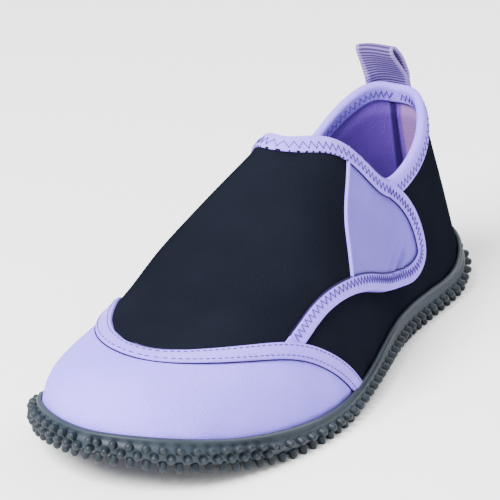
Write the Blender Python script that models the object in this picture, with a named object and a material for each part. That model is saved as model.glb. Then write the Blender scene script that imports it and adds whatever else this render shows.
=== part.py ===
import math

import bmesh
import bpy
import numpy as np
from mathutils import Matrix, Vector
from mathutils.geometry import delaunay_2d_cdt

for item in list(bpy.data.objects):
    bpy.data.objects.remove(item, do_unlink=True)

# Sizes of the last in metres: the heel is at X = 0, the toe at +X, and +Y is the outer side of a left shoe
LAST_LENGTH = 0.246
BALL_WIDTH = 0.090
INSTEP_HEIGHT = 0.086
HEEL_HEIGHT = 0.0765
HEEL_LEAN = 0.0425
LIP_HEIGHT = 0.0225
TOE_SPRING = 0.0115
ARCH_LIFT = 0.0060
HEEL_LIFT = 0.0033

# Thicknesses and widths of the pieces
WALL = 0.0025
FLAP = 0.0020
CAP = 0.0010
TAPE = 0.0010
TAPE_WIDTH = 0.0065
GAP = 0.0003
SEAT_EASE = 1.5 * GAP
CUP_EASE = 1.3 * GAP
BAND_EASE = 2.5 * GAP
FOLD_EASE = 0.0008
PLATE = 0.0025
STUD = 0.0022
SIDE_STUD = 0.0028
STUD_PITCH = 0.0064
LIP_EDGE = 0.0018
SOLE_SWELL = 0.0030
INSOLE = 0.0030
LOOP_WIDTH = 0.0140
LOOP_REACH = 0.0132
LOOP_BULGE = 0.0056
LOOP_PLACE = -0.0045
WEBBING = 0.0013

# Fineness of the skin's grid, and the length of a step along a seam
STATIONS = 34
RIB_STEPS = 9
SEAM_STEP = 0.0060

# Station and side breadths as shares of length and ball width, ridge height as a share of instep height,
# ridge place across as a share of ball width, and the powers that shape the rib: lean and rise
LAST = [
    # station, outer, inner, ridge, ridge_place, lean, rise
    (0.00, 0.000, 0.000, 1.610, 0.000, 1.467, 2.076),
    (0.04, 0.248, -0.209, 1.555, 0.000, 1.460, 2.020),
    (0.12, 0.327, -0.337, 1.510, 0.000, 1.440, 1.900),
    (0.22, 0.337, -0.349, 1.420, 0.000, 1.400, 1.740),
    (0.34, 0.364, -0.331, 1.202, 0.000, 1.300, 1.540),
    (0.46, 0.439, -0.362, 1.000, 0.000, 1.060, 1.220),
    (0.58, 0.507, -0.466, 0.803, -0.010, 0.870, 0.960),
    (0.68, 0.531, -0.471, 0.664, -0.030, 0.880, 0.870),
    (0.78, 0.497, -0.475, 0.557, -0.053, 0.920, 0.830),
    (0.88, 0.407, -0.463, 0.497, -0.060, 0.940, 0.760),
    (0.96, 0.266, -0.307, 0.430, -0.050, 0.955, 0.620),
    (1.00, -0.038, -0.038, 0.290, -0.038, 0.960, 0.520),
]

# Lip heights as shares of the lip height, and the ground clearance of each side as shares of the row's size
SOLE = [
    # station, outer_lip, inner_lip, size, outer_clearance, inner_clearance
    (0.00, 0.88, 0.88, HEEL_LIFT, 1.00, 1.00),
    (0.04, 0.74, 0.78, HEEL_LIFT, 0.60, 0.45),
    (0.12, 0.46, 0.70, HEEL_LIFT, 0.00, 0.00),
    (0.22, 0.45, 0.72, ARCH_LIFT, 0.00, 0.13),
    (0.34, 0.47, 0.93, ARCH_LIFT, 0.20, 0.63),
    (0.46, 0.44, 0.85, ARCH_LIFT, 0.40, 1.00),
    (0.58, 0.37, 0.56, ARCH_LIFT, 0.28, 0.68),
    (0.67, 0.38, 0.40, TOE_SPRING, 0.00, 0.00),
    (0.76, 0.45, 0.48, TOE_SPRING, 0.00, 0.02),
    (0.88, 0.65, 0.75, TOE_SPRING, 0.33, 0.45),
    (0.96, 0.87, 0.91, TOE_SPRING, 0.70, 0.86),
    (1.00, 0.95, 0.95, TOE_SPRING, 1.00, 1.00),
]

# Height of the collar edge on each side as shares of the row's size
COLLAR = [
    # station, size, outer, inner
    (0.00, HEEL_HEIGHT, 1.000, 1.000),
    (0.04, HEEL_HEIGHT, 0.975, 1.005),
    (0.12, HEEL_HEIGHT, 0.850, 0.890),
    (0.22, HEEL_HEIGHT, 0.760, 0.775),
    (0.32, INSTEP_HEIGHT, 0.735, 0.745),
    (0.40, INSTEP_HEIGHT, 0.945, 0.850),
    (0.46, INSTEP_HEIGHT, 1.000, 1.000),
]
THROAT = COLLAR[-1][0]

# Edge of the toe cap: the station where it crosses each rib turn, on the outer and the inner side
CAP_EDGE = [
    # turn as a share of a quarter turn, outer, inner
    (0.00, 0.545, 0.572),
    (0.25, 0.657, 0.634),
    (0.45, 0.735, 0.705),
    (0.60, 0.808, 0.763),
    (0.80, 0.878, 0.842),
    (1.00, 0.885, 0.885),
]

# Free edge of the flap from the notch of the collar, round its end and forward to the toe cap
FLAP_EDGE = [
    # station, height as a share of the instep height
    (0.294, 0.690),
    (0.262, 0.625),
    (0.232, 0.520),
    (0.219, 0.400),
    (0.226, 0.285),
    (0.262, 0.228),
    (0.330, 0.245),
    (0.400, 0.300),
    (0.480, 0.390),
    (0.560, 0.452),
    (0.635, 0.452),
    (0.712, 0.385),
]
NOTCH = FLAP_EDGE[0][0]

# Front seam of the flap's end panel: the station where it crosses each rib turn, on the outer side
FLAP_SEAM = [
    # turn as a share of a quarter turn, station
    (0.20, 0.560),
    (0.38, 0.538),
    (0.48, 0.504),
    (0.56, 0.460),
    (0.62, 0.400),
    (0.70, 0.375),
]

QUARTER = math.pi / 2


def angle_of(station):
    return np.arccos(1 - 2 * np.clip(np.asarray(station, float), 0, 1))


def curve(places, values, level_ends=False):
    """Cubic curve through values at places. Level ends keep both sides smooth where they meet."""
    x = np.asarray(places, float)
    y = np.asarray(values, float)
    count = len(x)
    width = np.diff(x)
    slope = np.diff(y) / width
    system = np.eye(count)
    right = np.zeros(count)
    for i in range(1, count - 1):
        system[i, i - 1:i + 2] = width[i - 1], 2 * (width[i - 1] + width[i]), width[i]
        right[i] = 6 * (slope[i] - slope[i - 1])
    if level_ends:
        system[0, :2] = 2 * width[0], width[0]
        system[-1, -2:] = width[-1], 2 * width[-1]
        right[0] = 6 * slope[0]
        right[-1] = -6 * slope[-1]
    bend = np.linalg.solve(system, right)

    def value(at):
        at = np.asarray(at, float)
        k = np.clip(np.searchsorted(x, at) - 1, 0, count - 2)
        before = at - x[k]
        after = x[k + 1] - at
        cubic = (bend[k] * after ** 3 + bend[k + 1] * before ** 3) / (6 * width[k])
        start = (y[k] / width[k] - bend[k] * width[k] / 6) * after
        end = (y[k + 1] / width[k] - bend[k + 1] * width[k] / 6) * before
        return cubic + start + end

    return value


def column(table, pick, level_ends=True):
    return curve(angle_of([row[0] for row in table]), [pick(row) for row in table], level_ends)


outer_breadth = column(LAST, lambda row: row[1] * BALL_WIDTH, False)
inner_breadth = column(LAST, lambda row: row[2] * BALL_WIDTH, False)
ridge_height = column(LAST, lambda row: row[3] * INSTEP_HEIGHT)
ridge_place = column(LAST, lambda row: row[4] * BALL_WIDTH)
rib_lean = column(LAST, lambda row: row[5])
rib_rise = column(LAST, lambda row: row[6])
lips = {1: column(SOLE, lambda row: row[1] * LIP_HEIGHT), -1: column(SOLE, lambda row: row[2] * LIP_HEIGHT)}
clearances = {1: column(SOLE, lambda row: row[3] * row[4]), -1: column(SOLE, lambda row: row[3] * row[5])}
collars = {1: column(COLLAR, lambda row: row[1] * row[2]), -1: column(COLLAR, lambda row: row[1] * row[3])}


def lip(angle, side):
    return lips[side](angle)


FLAT_EASE = 0.0003


def ground(angle, side):
    """Height of the stud tips over the floor: level where the clearance is under the ease."""
    return np.maximum(clearances[side](angle) - FLAT_EASE, 0)


def bed(angle, side):
    """Height of the sole plate's upper face."""
    return ground(angle, side) + STUD + PLATE


# Every rib springs from a foot this share of the lip height over the floor. The heel's ribs fan forward,
# less and less away from the heel by a power of the cosine
RIB_FOOT = 0.35
FAN_POWER = 2.4


def form(angle, turn):
    """Skin of the last. The angle runs from heel to toe, the turn from the outer foot over the ridge."""
    angle = np.asarray(angle, float)
    turn = np.asarray(turn, float)
    outer = turn <= QUARTER
    rib_turn = np.clip(np.where(outer, turn, math.pi - turn), 0, QUARTER)
    across = 1 - np.cos(rib_turn) ** rib_lean(angle)
    up = np.sin(rib_turn) ** rib_rise(angle)
    foot_y = np.where(outer, outer_breadth(angle), inner_breadth(angle))
    foot_z = RIB_FOOT * np.where(outer, lip(angle, 1), lip(angle, -1))
    fan = HEEL_LEAN * np.cos(np.clip(angle, -QUARTER, QUARTER)) ** FAN_POWER
    x = LAST_LENGTH * (1 - np.cos(angle)) / 2 + fan * across
    y = foot_y + (ridge_place(angle) - foot_y) * across
    z = foot_z + (ridge_height(angle) - foot_z) * up
    return np.stack([x, y, z], -1)


PROBE = 2e-3


def slopes(angle, turn):
    """Change of the skin for each radian of angle and of turn."""
    along = (form(angle + PROBE, turn) - form(angle - PROBE, turn)) / (2 * PROBE)
    over = (form(angle, turn + PROBE) - form(angle, turn - PROBE)) / (2 * PROBE)
    return along, over


# The ribs shrink to nothing at the tip of the toe, where this alone gives the skin a direction
TIP_LEAN = np.array([1e-9, 0, 1e-9])


def outward(angle, turn):
    along, over = slopes(angle, turn)
    normal = np.cross(over, along) + TIP_LEAN
    return normal / np.linalg.norm(normal, axis=-1, keepdims=True)


def skin(angle, turn, lift=0.0):
    angle = np.asarray(angle, float)
    turn = np.asarray(turn, float)
    return form(angle, turn) + outward(angle, turn) * np.asarray(lift, float)[..., None]


def turn_at(angle, side, height):
    """Turn of the rib at a height on the outer (1) or the inner (-1) side."""
    foot_z = RIB_FOOT * lip(angle, side)
    share = np.clip((height - foot_z) / (ridge_height(angle) - foot_z), 0, 1)
    turn = np.arcsin(share ** (1 / rib_rise(angle)))
    return turn if side > 0 else math.pi - turn


def lower_turn(angle, side):
    """Lower edge of the wall, high enough for its tilted inner corner to clear the sole plate."""
    tilt = np.maximum(outward(angle, turn_at(angle, side, bed(angle, side)))[..., 2], 0)
    return turn_at(angle, side, bed(angle, side) + SEAT_EASE + WALL * tilt)


def collar_turn(angle, side):
    return turn_at(angle, side, collars[side](angle))


def slide(angle, turn, move):
    """Angle and turn after a short move in the skin, given as a vector."""
    along, over = slopes(angle, turn)
    step = np.linalg.lstsq(np.stack([along, over], -1), move, rcond=None)[0]
    return angle + step[0], turn + step[1]


def even(path, step):
    """The same path over the skin with points an even length apart."""
    path = np.asarray(path, float)
    points = form(path[:, 0], path[:, 1])
    length = np.concatenate([[0], np.cumsum(np.linalg.norm(np.diff(points, axis=0), axis=1))])
    count = max(2, int(round(length[-1] / step)))
    at = np.linspace(0, length[-1], count + 1)
    return np.stack([np.interp(at, length, path[:, 0]), np.interp(at, length, path[:, 1])], -1)


def edge_strip(path, distance):
    """The path moved sideways in the skin, to the right of its direction seen from outside."""
    points = form(path[:, 0], path[:, 1])
    ahead = np.gradient(points, axis=0)
    moved = []
    for (angle, turn), direction in zip(path, ahead):
        side = np.cross(direction, outward(angle, turn))
        moved.append(slide(angle, turn, side / np.linalg.norm(side) * distance))
    return np.array(moved)


# Paths over the skin: the collar edge, the free edge of the flap, and the edge of the toe cap
def collar_path(stations, side):
    angles = angle_of(stations)
    return np.stack([angles, collar_turn(angles, side)], -1)


# The bindings part at a station on the inner side, a seam's width apart. On the outer side the rear one
# ends short of the notch
FINE = 160
SPLIT = 0.30
SPLIT_GAP = 0.0013
NOTCH_GAP = 0.006
front_start = np.linspace(SPLIT + SPLIT_GAP, THROAT, FINE)
front_end = np.linspace(THROAT, NOTCH, FINE)[1:]
rear_outer = even(collar_path(np.linspace(NOTCH - NOTCH_GAP, 0, FINE), 1), SEAM_STEP)
rear_inner = even(collar_path(np.linspace(0, SPLIT, FINE), -1), SEAM_STEP)
rear_steps = np.concatenate([rear_outer, rear_inner[1:]])
front_collar = np.concatenate([collar_path(front_start, -1), collar_path(front_end, 1)])


def flap_line():
    rows = np.array(FLAP_EDGE)
    angles = angle_of(rows[:, 0])
    turns = turn_at(angles, 1, rows[:, 1] * INSTEP_HEIGHT)
    turns[0] = collar_turn(angles[0], 1)
    points = form(angles, turns)
    length = np.concatenate([[0], np.cumsum(np.linalg.norm(np.diff(points, axis=0), axis=1))])
    at = np.linspace(0, length[-1], FINE)
    return np.stack([curve(length, angles)(at), curve(length, turns)(at)], -1)


cap_turns = [row[0] * QUARTER for row in CAP_EDGE]
cap_turns += [math.pi - turn for turn in cap_turns[-2::-1]]
cap_stations = [row[1] for row in CAP_EDGE] + [row[2] for row in CAP_EDGE][-2::-1]
cap_angle = curve(cap_turns, angle_of(cap_stations))
seam_rows = np.array(FLAP_SEAM)
seam_angle = curve(seam_rows[:, 0] * QUARTER, angle_of(seam_rows[:, 1]))


def cap_line(margin):
    """Edge of the toe cap from the inner to the outer lip, both ends a margin over the lip."""
    turns = np.linspace(math.pi, 0, 4 * FINE)
    angles = cap_angle(turns)
    sides = np.where(turns > QUARTER, lip(angles, -1), lip(angles, 1))
    heights = form(angles, turns)[:, 2]
    held = heights > sides + margin
    return np.stack([angles, turns], -1)[held]


flap_free = flap_line()
flap_steps = even(flap_free, SEAM_STEP)
flap_inside = edge_strip(flap_steps, TAPE_WIDTH + GAP)
cap_steps = even(cap_line(-LIP_HEIGHT), SEAM_STEP)
cap_inside = edge_strip(cap_steps, TAPE_WIDTH + GAP / 2)


def fade(value, full, none):
    share = np.clip((value - none) / (full - none), 0, 1)
    return share * share * (3 - 2 * share)


# The vamp's step runs out between two turns on the ridge side, and between two angles before the toe cap
RIDGE_FULL, RIDGE_NONE = 0.64 * QUARTER, 0.92 * QUARTER
CAP_FULL, CAP_NONE = 0.40, 0.03


def layer(angle, turn):
    """How far the vamp's upper face stands over the skin where it lies over the outer quarter."""
    angle = np.asarray(angle, float)
    over_ridge = fade(turn, RIDGE_FULL, RIDGE_NONE)
    to_cap = fade(angle, cap_angle(turn) - CAP_FULL, cap_angle(turn) - CAP_NONE)
    return (FLAP + GAP) * over_ridge * to_cap


def inside(place, outline):
    """Whether a place on the skin lies within a closed outline of angles and turns."""
    angle, turn = place
    crossings = 0
    for (a0, t0), (a1, t1) in zip(outline, np.roll(outline, -1, axis=0)):
        if (t0 > turn) != (t1 > turn) and angle < a0 + (turn - t0) * (a1 - a0) / (t1 - t0):
            crossings += 1
    return crossings % 2 == 1


# Solids cut from the skin
FLAT = np.array([LAST_LENGTH / 2, INSTEP_HEIGHT / 2])


def grid_points():
    """Places where the skin's stations and ribs cross."""
    places = []
    for i in range(1, STATIONS):
        angle = math.pi * i / STATIONS
        open_top = angle < angle_of(THROAT)
        low = lower_turn(angle, 1)
        high = lower_turn(angle, -1)
        if open_top:
            turns = list(np.linspace(low, collar_turn(angle, 1), RIB_STEPS + 1))
            turns += list(np.linspace(high, collar_turn(angle, -1), RIB_STEPS + 1))
        else:
            turns = list(np.linspace(low, high, 2 * RIB_STEPS + 1))
        places += [(angle, turn) for turn in turns]
    return np.array(places)


def outline_of_upper():
    """Round the whole skin: outer lower edge, toe, inner lower edge, heel, collar, heel."""
    angles = np.linspace(0, math.pi, STATIONS + 1)
    outer = np.stack([angles, lower_turn(angles, 1)], -1)
    inner = np.stack([angles, lower_turn(angles, -1)], -1)
    toe = np.linspace(outer[-1, 1], inner[-1, 1], 5)[1:-1]
    heel = np.linspace(lower_turn(0.0, 1), collar_turn(0.0, 1), RIB_STEPS + 1)
    stations = np.linspace(0, THROAT, FINE)
    rim = np.concatenate([collar_path(stations, -1), collar_path(stations, 1)[-2::-1]])
    half = int(np.argmin(np.abs(rim[:, 0] - angle_of(THROAT))))
    rim = np.concatenate([even(rim[:half + 1], SEAM_STEP), even(rim[half:], SEAM_STEP)[1:]])
    parts = [
        outer,
        np.stack([np.full(len(toe), math.pi), toe], -1),
        inner[::-1],
        np.stack([np.zeros(RIB_STEPS - 1), math.pi - heel[1:-1]], -1),
        rim,
        np.stack([np.zeros(RIB_STEPS - 1), heel[-2:0:-1]], -1),
    ]
    return np.concatenate(parts)


def distance_to(places, line):
    """Shortest flat distance of every place from a line."""
    start = line[:-1] * FLAT
    run = line[1:] * FLAT - start
    offset = places[:, None] * FLAT - start
    share = np.clip((offset * run).sum(-1) / np.maximum((run ** 2).sum(-1), 1e-12), 0, 1)
    return np.linalg.norm(offset - share[..., None] * run, axis=-1).min(1)


LINE_CLEARANCE = 0.0022
BEYOND_TOE = 4.0


def triangulate(lines):
    """Triangles over the skin that keep every line as an edge."""
    places = grid_points()
    for line in lines:
        places = places[distance_to(places, line) > LINE_CLEARANCE]
    edges = []
    for line in lines:
        start = len(places)
        places = np.concatenate([places, line])
        edges += [(start + i, start + i + 1) for i in range(len(line) - 1)]
    points = [Vector(place * FLAT) for place in places]
    found, _, faces, sources, _, _ = delaunay_2d_cdt(points, edges, [], 0, 1e-6)
    exact = [places[source[0]] if source else np.array(point) / FLAT for point, source in zip(found, sources)]
    return np.array(exact), faces


def finish(name, bm, colour, roughness):
    bmesh.ops.recalc_face_normals(bm, faces=bm.faces)
    mesh = bpy.data.meshes.new(name)
    bm.to_mesh(mesh)
    bm.free()
    mesh.shade_smooth()
    mesh.set_sharp_from_angle(angle=math.radians(40))
    material = bpy.data.materials.new(name)
    material.use_nodes = True
    shader = material.node_tree.nodes["Principled BSDF"]
    shader.inputs["Base Color"].default_value = (*colour, 1)
    shader.inputs["Roughness"].default_value = roughness
    mesh.materials.append(material)
    piece = bpy.data.objects.new(name, mesh)
    bpy.context.scene.collection.objects.link(piece)
    return piece


def cut_from_skin(lines, tier_of, tops, bottoms):
    """Closed solid over the triangles that have a tier. A change of tier makes a step in the upper face."""
    places, faces = triangulate(lines)
    ends = (places[:, 0] < 1e-5) | (places[:, 0] > math.pi - 1e-5)
    folded = places.copy()
    folded[ends, 1] = np.minimum(places[ends, 1], math.pi - places[ends, 1])
    keys = {}
    same = [keys.setdefault((round(a, 5), round(t, 5)), i) for i, (a, t) in enumerate(folded)]
    bm = bmesh.new()
    posts = {}

    def lift_of(index, tier):
        angle, turn = folded[index]
        level = bottoms[-tier - 1] if tier < 0 else tops[tier]
        return round(float(level(angle, turn)), 6)

    def corner(index, tier):
        lift = lift_of(index, tier)
        post = posts.setdefault(index, {})
        if lift not in post:
            post[lift] = bm.verts.new(skin(*folded[index], lift))
        return post[lift]

    def rise(index, one, two):
        """Corners of a wall at one place, from one tier's level to another's."""
        start, end = lift_of(index, one), lift_of(index, two)
        low, high = sorted((start, end))
        lifts = sorted((lift for lift in posts[index] if low <= lift <= high), reverse=start > end)
        return [posts[index][lift] for lift in lifts]

    borders = {}
    for face in faces:
        tier = tier_of(places[list(face)].mean(0))
        ring = [same[i] for i in face]
        if tier is None or len(set(ring)) < 3:
            continue
        bm.faces.new([corner(i, tier) for i in ring])
        bm.faces.new([corner(i, -tier - 1) for i in reversed(ring)])
        for a, b in zip(ring, ring[1:] + ring[:1]):
            borders.setdefault(tuple(sorted((a, b))), []).append(tier)
    for (a, b), tiers in borders.items():
        walls = [(tiers[0], -tiers[0] - 1)]
        if len(tiers) == 2:
            walls = [(tiers[0], tiers[1]), (-tiers[0] - 1, -tiers[1] - 1)]
        if len(tiers) == 2 and tiers[0] == tiers[1]:
            continue
        for one, two in walls:
            ring = rise(a, one, two) + rise(b, two, one)
            if len(ring) > 2:
                bm.faces.new(ring)
    return bm


def flat_lift(amount):
    return lambda angle, turn: amount


def sweep(rings, ends_closed=True):
    """Closed solid through rings of skin places, each row an angle, a turn and a lift."""
    bm = bmesh.new()
    loops = []
    for ring in rings:
        ring = np.array(ring)
        loops.append([bm.verts.new(point) for point in skin(ring[:, 0], ring[:, 1], ring[:, 2])])
    for one, two in zip(loops, loops[1:]):
        for i, vert in enumerate(one):
            following = (i + 1) % len(one)
            bm.faces.new([vert, one[following], two[following], two[i]])
    if ends_closed:
        bm.faces.new(loops[0][::-1])
        bm.faces.new(loops[-1])
    return bm


def tape_rings(path, profile, first=0, last=None):
    """Rings of a tape along a path. The profile gives, for each place, widths and lifts."""
    points = form(path[:, 0], path[:, 1])
    ahead = np.gradient(points, axis=0)
    rings = []
    for k, ((angle, turn), direction) in enumerate(zip(path, ahead)):
        if k < first or (last is not None and k >= last):
            continue
        side = np.cross(direction, outward(angle, turn))
        side /= np.linalg.norm(side)
        ring = []
        for width, lift in profile(k, angle, turn):
            at, rib_turn = slide(angle, turn, side * width)
            ring.append([at, rib_turn, lift])
        rings.append(ring)
    return rings


BLACK = (0.016, 0.022, 0.036)
LILAC = (0.52, 0.47, 0.80)
RUBBER = (0.045, 0.060, 0.075)

# Upper: one hollow neoprene shell with the vamp as a step over the outer quarter and a recess at the toe cap
upper_outline = outline_of_upper()
outline_line = np.concatenate([upper_outline, upper_outline[:1]])
SEAM_SPAN = (0.16, 0.80)
SEAM_POINTS = 16
seam_turns = np.linspace(SEAM_SPAN[0] * QUARTER, SEAM_SPAN[1] * QUARTER, SEAM_POINTS)
seam_half_gap = GAP / LAST_LENGTH
seam_front = np.stack([seam_angle(seam_turns) + seam_half_gap, seam_turns], -1)
seam_back = np.stack([seam_angle(seam_turns) - seam_half_gap, seam_turns], -1)
BEHIND_FLAP = 0.6
vamp_ends = [[BEYOND_TOE, flap_inside[-1, 1]], [BEYOND_TOE, QUARTER], [BEHIND_FLAP, QUARTER]]
vamp_area = np.concatenate([flap_inside, vamp_ends])


def in_front_of_seam(place, shift):
    return place[0] > seam_angle(place[1]) + shift


def ahead_of(line):
    """Outline of all that lies between a line and the toe."""
    return np.concatenate([line, [[BEYOND_TOE, line[-1, 1]], [BEYOND_TOE, line[0, 1]]]])


toe_area = ahead_of(cap_inside)


def upper_tier(place):
    if not inside(place, upper_outline):
        return None
    if inside(place, toe_area):
        return 2
    if place[1] < QUARTER and in_front_of_seam(place, seam_half_gap) and inside(place, vamp_area):
        return 1
    return 0


RECESS = CAP + 2 * GAP
TOE_WALL = 0.0014
upper = cut_from_skin(
    [outline_line, seam_front, flap_inside, cap_inside],
    upper_tier,
    [flat_lift(0.0), layer, flat_lift(-RECESS)],
    [flat_lift(-WALL), flat_lift(-WALL), flat_lift(-RECESS - TOE_WALL)],
)
finish("upper", upper, BLACK, 0.75)

# Toe cap: a lilac panel in the recess of the upper, level with the skin
toe_cap_line = edge_strip(cap_steps, TAPE_WIDTH + BAND_EASE)
toe_cap_area = ahead_of(toe_cap_line)


def cap_tier(place):
    return 0 if inside(place, upper_outline) and inside(place, toe_cap_area) else None


toe_cap = cut_from_skin([outline_line, toe_cap_line], cap_tier, [flat_lift(0.0)], [flat_lift(-CAP)])
finish("toe_cap", toe_cap, LILAC, 0.6)


# Toe band: a raised tape over the joint of toe cap and vamp, cut off along the lip of the sole
ROUNDING = TAPE / 2


def raised_tape(seat, top):
    """Widths and lifts round a tape with rounded upper edges."""
    half = TAPE_WIDTH / 2
    return [
        (0, seat), (0, top - ROUNDING), (ROUNDING, top), (half, top),
        (TAPE_WIDTH - ROUNDING, top), (TAPE_WIDTH, top - ROUNDING), (TAPE_WIDTH, seat), (half, seat),
    ]


def band_profile(k, angle, turn):
    return raised_tape(GAP, GAP + TAPE)


def keep_over_lip(ring):
    """Lifts the places of a band's ring that would dip behind the lip."""
    for row in ring:
        side = 1 if row[1] < QUARTER else -1
        lowest = float(turn_at(row[0], side, lip(row[0], side) + 3 * GAP))
        row[1] = max(row[1], lowest) if side > 0 else min(row[1], lowest)


band_rings = tape_rings(even(cap_line(3 * GAP), SEAM_STEP), band_profile)
for band_ring in band_rings:
    keep_over_lip(band_ring)
finish("toe_band", sweep(band_rings), LILAC, 0.6)

# Closure flap: the lilac end panel of the vamp, over the outer quarter
flap_notch = front_collar[-1:]
flap_rim = front_collar[FINE:-1]
flap_border = np.concatenate([flap_notch, flap_inside])
PLACE_IN_VAMP = (1.9, 1.2)
flap_area = np.concatenate([flap_rim, flap_border, [PLACE_IN_VAMP]])


def flap_tier(place):
    behind = SEAM_SPAN[0] * QUARTER < place[1] < QUARTER and not in_front_of_seam(place, -seam_half_gap)
    held = behind and inside(place, flap_area) and inside(place, upper_outline)
    return 0 if held else None


flap = cut_from_skin([outline_line, flap_border, seam_back], flap_tier, [layer], [flat_lift(GAP)])
finish("closure_flap", flap, LILAC, 0.6)


# Collar bindings: a tape folded over the edge of the wall, in a rear and a front length
def fold_profile(k, angle, turn):
    over = float(layer(angle, turn)) + FOLD_EASE
    top = over + TAPE
    under = -WALL - FOLD_EASE
    return [
        (TAPE_WIDTH, over), (TAPE_WIDTH, over + ROUNDING), (TAPE_WIDTH - TAPE, top), (0, top),
        (-FOLD_EASE - TAPE, over), (-FOLD_EASE - TAPE, -WALL), (0, under - TAPE),
        (TAPE_WIDTH - TAPE, under - TAPE), (TAPE_WIDTH - TAPE, under), (-FOLD_EASE, under), (-FOLD_EASE, over),
    ]


def rear_profile(k, angle, turn):
    return fold_profile(k, angle, math.pi)


finish("collar_binding_rear", sweep(tape_rings(rear_steps, rear_profile)), LILAC, 0.65)
front_steps = even(front_collar, SEAM_STEP)
front_count = len(front_steps)
whole_front = np.concatenate([front_steps, flap_steps[1:]])
finish("collar_binding_front", sweep(tape_rings(whole_front, fold_profile, 0, front_count)), LILAC, 0.65)


# Flap binding: a raised tape along the free edge of the flap, over the rear binding at the notch
def flap_profile(k, angle, turn):
    over_rear = k < front_count + 2
    return raised_tape(FOLD_EASE + TAPE + GAP if over_rear else GAP, float(layer(angle, turn)) + GAP + TAPE)


past_notch = even(flap_free, GAP)[2:3]
past_front = np.concatenate([front_steps[:-1], past_notch, flap_steps[1:]])
flap_rings = tape_rings(past_front, flap_profile, front_count - 1)
for row in flap_rings[-1]:
    row[0] = float(cap_angle(row[1])) - 2 * GAP / FLAT[0]
finish("flap_binding", sweep(flap_rings), LILAC, 0.65)


# Outsole: a rubber cup with rows of studs round its side and under it
def lip_line(angle, side):
    """Outline of the upper at the lip, and the level direction that points away from it."""
    def at(place):
        return form(place, turn_at(place, side, lip(place, side)))

    point = at(angle)
    ahead = at(angle + PROBE) - at(angle - PROBE)
    away = np.array([-ahead[1], ahead[0], 0]) * side
    return point, away / np.linalg.norm(away)


SPINE_END = 0.11


def spine(angle):
    """Middle line of the sole, drawn in from both ends."""
    station = (1 - math.cos(angle) * (1 - 2 * SPINE_END)) / 2
    place = angle_of(station)
    middle = (outer_breadth(place) + inner_breadth(place)) / 2
    return np.array([LAST_LENGTH * station, float(middle), 0])


def sole_columns():
    """Angles that divide the outline of the lip into columns of even width."""
    fine = np.linspace(0, math.pi, 4 * FINE)
    line = np.array([lip_line(angle, 1)[0] for angle in fine])
    length = np.concatenate([[0], np.cumsum(np.linalg.norm(np.diff(line, axis=0), axis=1))])
    count = 2 * int(round(length[-1] / STUD_PITCH / 2))
    return np.interp(np.linspace(0, length[-1], count + 1), length, fine)


# Rows of the sole's side as shares of its height, with how far they stand out as shares of the swell
SOLE_SIDE = [
    # height, reach
    (0.00, 0.45),
    (0.22, 0.95),
    (0.45, 1.00),
    (0.68, 0.85),
    (0.73, 0.62),
    (0.95, 0.66),
]
STUD_ROWS = 3
TREAD_RINGS = [0.46, 0.66, 0.84]
STUDDED_RINGS = (1, 3)


def sole_section(angle, side):
    """Points of half a section: from the middle below, out round the side, and back over the bed."""
    point, away = lip_line(angle, side)
    centre = spine(angle)
    low = float(ground(angle, side)) + STUD
    other = float(ground(angle, -side)) + STUD
    top = float(lip(angle, side))
    rows = []
    for height, reach in SOLE_SIDE:
        out = GAP + SOLE_SWELL * reach
        rows.append(point + away * out + np.array([0, 0, low + (top - low) * height - point[2]]))
    corner = rows[0]
    middle = np.array([centre[0], centre[1], (low + other) / 2])
    under = [middle]
    for share in TREAD_RINGS:
        under.append(middle + (corner - middle) * share)
    rim = point + away * (GAP + LIP_EDGE) + np.array([0, 0, top - point[2]])
    seat = low + PLATE
    inner = [skin(angle, turn_at(angle, side, height), CUP_EASE) for height in (top, (top + seat) / 2, seat)]
    inner[-1][2] = seat
    return under + rows + [rim] + inner + [middle + np.array([0, 0, PLATE])]


STUD_TAPER = 0.55


def build_sole():
    columns = sole_columns()
    bm = bmesh.new()
    sections = []
    for side in (1, -1):
        for angle in columns if side > 0 else columns[-2:0:-1]:
            sections.append([bm.verts.new(place) for place in sole_section(angle, side)])
    bm.verts.ensure_lookup_table()
    count = len(sections)
    faces = {}
    for c in range(count):
        one, two = sections[c], sections[(c + 1) % count]
        for r in range(len(one) - 1):
            faces[c, r] = bm.faces.new([one[r], one[r + 1], two[r + 1], two[r]])
    bmesh.ops.recalc_face_normals(bm, faces=bm.faces)
    first_side = len(TREAD_RINGS) + 1
    for c in range(count):
        for r in range(first_side, first_side + STUD_ROWS):
            stud(bm, faces[c, r], SIDE_STUD, None)
        for r in STUDDED_RINGS:
            if c % 2:
                stud(bm, faces[c, r], STUD, Vector((0, 0, -1)))
    bmesh.ops.remove_doubles(bm, verts=bm.verts, dist=1e-5)
    return bm


def stud(bm, face, height, direction):
    """Draws one face of the sole out to a stud that narrows to its tip."""
    face.normal_update()
    centre = face.calc_center_median()
    direction = direction or face.normal.copy()
    tip = [centre + (vert.co - centre) * STUD_TAPER + direction * height for vert in face.verts]
    foot = list(face.verts)
    bm.faces.remove(face)
    crown = [bm.verts.new(place) for place in tip]
    for i in range(len(foot)):
        following = (i + 1) % len(foot)
        bm.faces.new([foot[i], foot[following], crown[following], crown[i]])
    bm.faces.new(crown)


finish("outsole", build_sole(), RUBBER, 0.7)


# Insole: a flat foam bed within the wall of the upper
INSOLE_MARGIN = 0.0010
INSOLE_EASE = 0.1
INSOLE_COLUMNS = 20


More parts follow.
